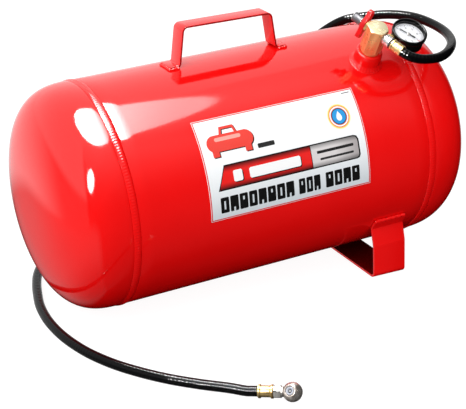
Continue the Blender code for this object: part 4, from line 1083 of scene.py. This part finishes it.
def wstep(v, lo, hi, a=0.0, b=1.0):
    n = wt.nodes.new("ShaderNodeMapRange")
    n.interpolation_type = "SMOOTHSTEP"
    for key, x_ in (("From Min", lo), ("From Max", hi), ("To Min", a), ("To Max", b)):
        n.inputs[key].default_value = x_
    wt.links.new(v, n.inputs["Value"])
    return n.outputs["Result"]


flat = wm("SQRT", wm("ADD", wm("ADD", wm("MULTIPLY", DX, DX), wm("MULTIPLY", DY, DY)), 1e-4))
# pale walls behind and to the left, open ceiling, dark flag to the right of the camera
wall_d = wm("DIVIDE", wm("ADD", wm("MULTIPLY", DX, -0.522), wm("MULTIPLY", DY, 0.853)), flat)
wall_on = wstep(wall_d, -0.06, 0.10)
wall_up = wstep(DZ, -0.06, 0.20, 0.0, 1.25)
back_d = wm("DIVIDE", wm("ADD", wm("MULTIPLY", DX, -0.087), wm("MULTIPLY", DY, 0.996)), flat)
wall_back = wm("MULTIPLY", wstep(back_d, 0.4, 0.95, 0.36, 1.1), wstep(DZ, -0.42, -0.34))
wall = wm("MULTIPLY", wall_on, wm("MAXIMUM", wall_up, wall_back))
up3 = wm("MULTIPLY", wm("POWER", wm("MAXIMUM", DZ, 0.0), 2.6), 1.3)
front_d = wm("DIVIDE", wm("MULTIPLY", DY, -1.0), flat)
ceil_ = wm("ADD", up3, wstep(front_d, -0.4, 0.2, 0.0, 0.06))
flag = wm("MULTIPLY", wstep(wm("DIVIDE", wm("ADD", wm("MULTIPLY", DX, 0.966), wm("MULTIPLY", DY, -0.259)), flat), 0.70, 0.93), wstep(DZ, 0.78, 0.92, 1.0, 0.0))
ceil_ = wm("MULTIPLY", ceil_, wm("SUBTRACT", 1.0, wm("MULTIPLY", flag, 0.85)))
low_d = wm("DIVIDE", wm("ADD", wm("MULTIPLY", DX, -0.94), wm("MULTIPLY", DY, 0.342)), flat)
low_left = wm("MULTIPLY", wm("MULTIPLY", wstep(low_d, 0.12, 0.5, 0.0, 0.42), wstep(DZ, -0.05, -0.45)), wstep(DZ, -1.0, -0.6, 0.3, 1.0))
gloss = wm("MAXIMUM", wm("MAXIMUM", wall, ceil_), low_left)
bg_gloss = wt.nodes.new("ShaderNodeBackground")
wt.links.new(gloss, bg_gloss.inputs["Strength"])
# soft fill from above and the left
fill = wm("ADD", wm("ADD", wm("MULTIPLY", DZ, 1.13), wm("MULTIPLY", DX, -0.85)), wm("ADD", wm("MULTIPLY", DY, -0.12), 1.01))
bg_fill = wt.nodes.new("ShaderNodeBackground")
wt.links.new(wm("MAXIMUM", fill, 0.0), bg_fill.inputs["Strength"])
bg_cam = wt.nodes.new("ShaderNodeBackground")
bg_cam.inputs["Color"].default_value = (1.0, 1.0, 1.0, 1.0)
bg_cam.inputs["Strength"].default_value = 1.0
lp = wt.nodes.new("ShaderNodeLightPath")
m1 = wt.nodes.new("ShaderNodeMixShader")
m2 = wt.nodes.new("ShaderNodeMixShader")
wt.links.new(lp.outputs["Is Glossy Ray"], m1.inputs[0])
wt.links.new(bg_fill.outputs[0], m1.inputs[1])
wt.links.new(bg_gloss.outputs[0], m1.inputs[2])
wt.links.new(lp.outputs["Is Camera Ray"], m2.inputs[0])
wt.links.new(m1.outputs[0], m2.inputs[1])
wt.links.new(bg_cam.outputs[0], m2.inputs[2])
wt.links.new(m2.outputs[0], out.inputs["Surface"])


def area(name, loc, target, power, sx, sy=None, shape="ELLIPSE", roll=0.0, glossy=True, diffuse=True):
    ld = bpy.data.lights.new(name, "AREA")
    ld.energy = power
    ld.shape = shape
    ld.size = sx
    if shape in ("ELLIPSE", "RECTANGLE"):
        ld.size_y = sy or sx
    o = bpy.data.objects.new(name, ld)
    bpy.context.scene.collection.objects.link(o)
    q = (Vector(target) - Vector(loc)).to_track_quat("-Z", "Y")
    o.matrix_world = Matrix.Translation(loc) @ q.to_matrix().to_4x4() @ Matrix.Rotation(roll, 4, "Z")
    o.visible_glossy = glossy
    o.visible_diffuse = diffuse
    o.visible_camera = False
    return o


# overhead softbox, dimmer towards its right-hand edge
em = bpy.data.materials.new("softbox_cloth")
em.use_nodes = True
et = em.node_tree
et.nodes.clear()
eo = et.nodes.new("ShaderNodeOutputMaterial")
ee = et.nodes.new("ShaderNodeEmission")
ec = et.nodes.new("ShaderNodeTexCoord")
es = et.nodes.new("ShaderNodeSeparateXYZ")
er = et.nodes.new("ShaderNodeMapRange")
er.interpolation_type = "SMOOTHSTEP"
for key, v in (("From Min", 0.40), ("From Max", -0.18), ("To Min", 5.5), ("To Max", 30.0)):
    er.inputs[key].default_value = v
et.links.new(ec.outputs["Object"], es.inputs[0])
et.links.new(es.outputs["X"], er.inputs["Value"])
elp = et.nodes.new("ShaderNodeLightPath")
ed = et.nodes.new("ShaderNodeMapRange")
for key, v in (("From Min", 1.4), ("From Max", 1.6), ("To Min", 1.0), ("To Max", 0.12)):
    ed.inputs[key].default_value = v
et.links.new(elp.outputs["Ray Depth"], ed.inputs["Value"])
em_ = et.nodes.new("ShaderNodeMath")
em_.operation = "MULTIPLY"
et.links.new(er.outputs["Result"], em_.inputs[0])
et.links.new(ed.outputs["Result"], em_.inputs[1])
et.links.new(em_.outputs[0], ee.inputs["Strength"])
et.links.new(ee.outputs[0], eo.inputs["Surface"])
bm = bmesh.new()
ring = [bm.verts.new((0.45 * math.cos(2 * math.pi * q / 48), 0.45 * math.sin(2 * math.pi * q / 48), 0)) for q in range(48)]
bm.faces.new(ring)
me = bpy.data.meshes.new("overhead_softbox")
bm.to_mesh(me)
bm.free()
sb = bpy.data.objects.new("overhead_softbox", me)
bpy.context.scene.collection.objects.link(sb)
sb.location = (-0.115, -0.07, 1.25)
me.materials.append(em)
sb.visible_camera = sb.visible_diffuse = sb.visible_shadow = sb.visible_transmission = False
area("front_small", (-1.50, -1.38, 1.14), (-0.23, -0.10, 0.19), 26.0, 0.50, 1.0, "ELLIPSE", math.radians(-24), True, False)
area("key_fill", (-1.4, -1.6, 2.0), (0.0, 0.0, 0.15), 9.0, 1.6, 1.2, "RECTANGLE", 0.0, False, True)
# two edge strips that draw the lengthwise glints on the hose only
hose_lit = bpy.data.collections.new("hose_lit")
hose_lit.objects.link(hose)
for name, loc, size, power in (("hose_strip_low", (-1.52, -1.16, 0.98), 0.26, 210.0), ("hose_strip_high", (-0.24, 0.20, 1.12), 0.20, 55.0)):
    strip = area(name, loc, (-0.19, -0.29, 0.01), power, size, size, "RECTANGLE", 0.0, True, False)
    strip.light_linking.receiver_collection = hose_lit
bpy.context.scene.view_settings.view_transform = "Standard"
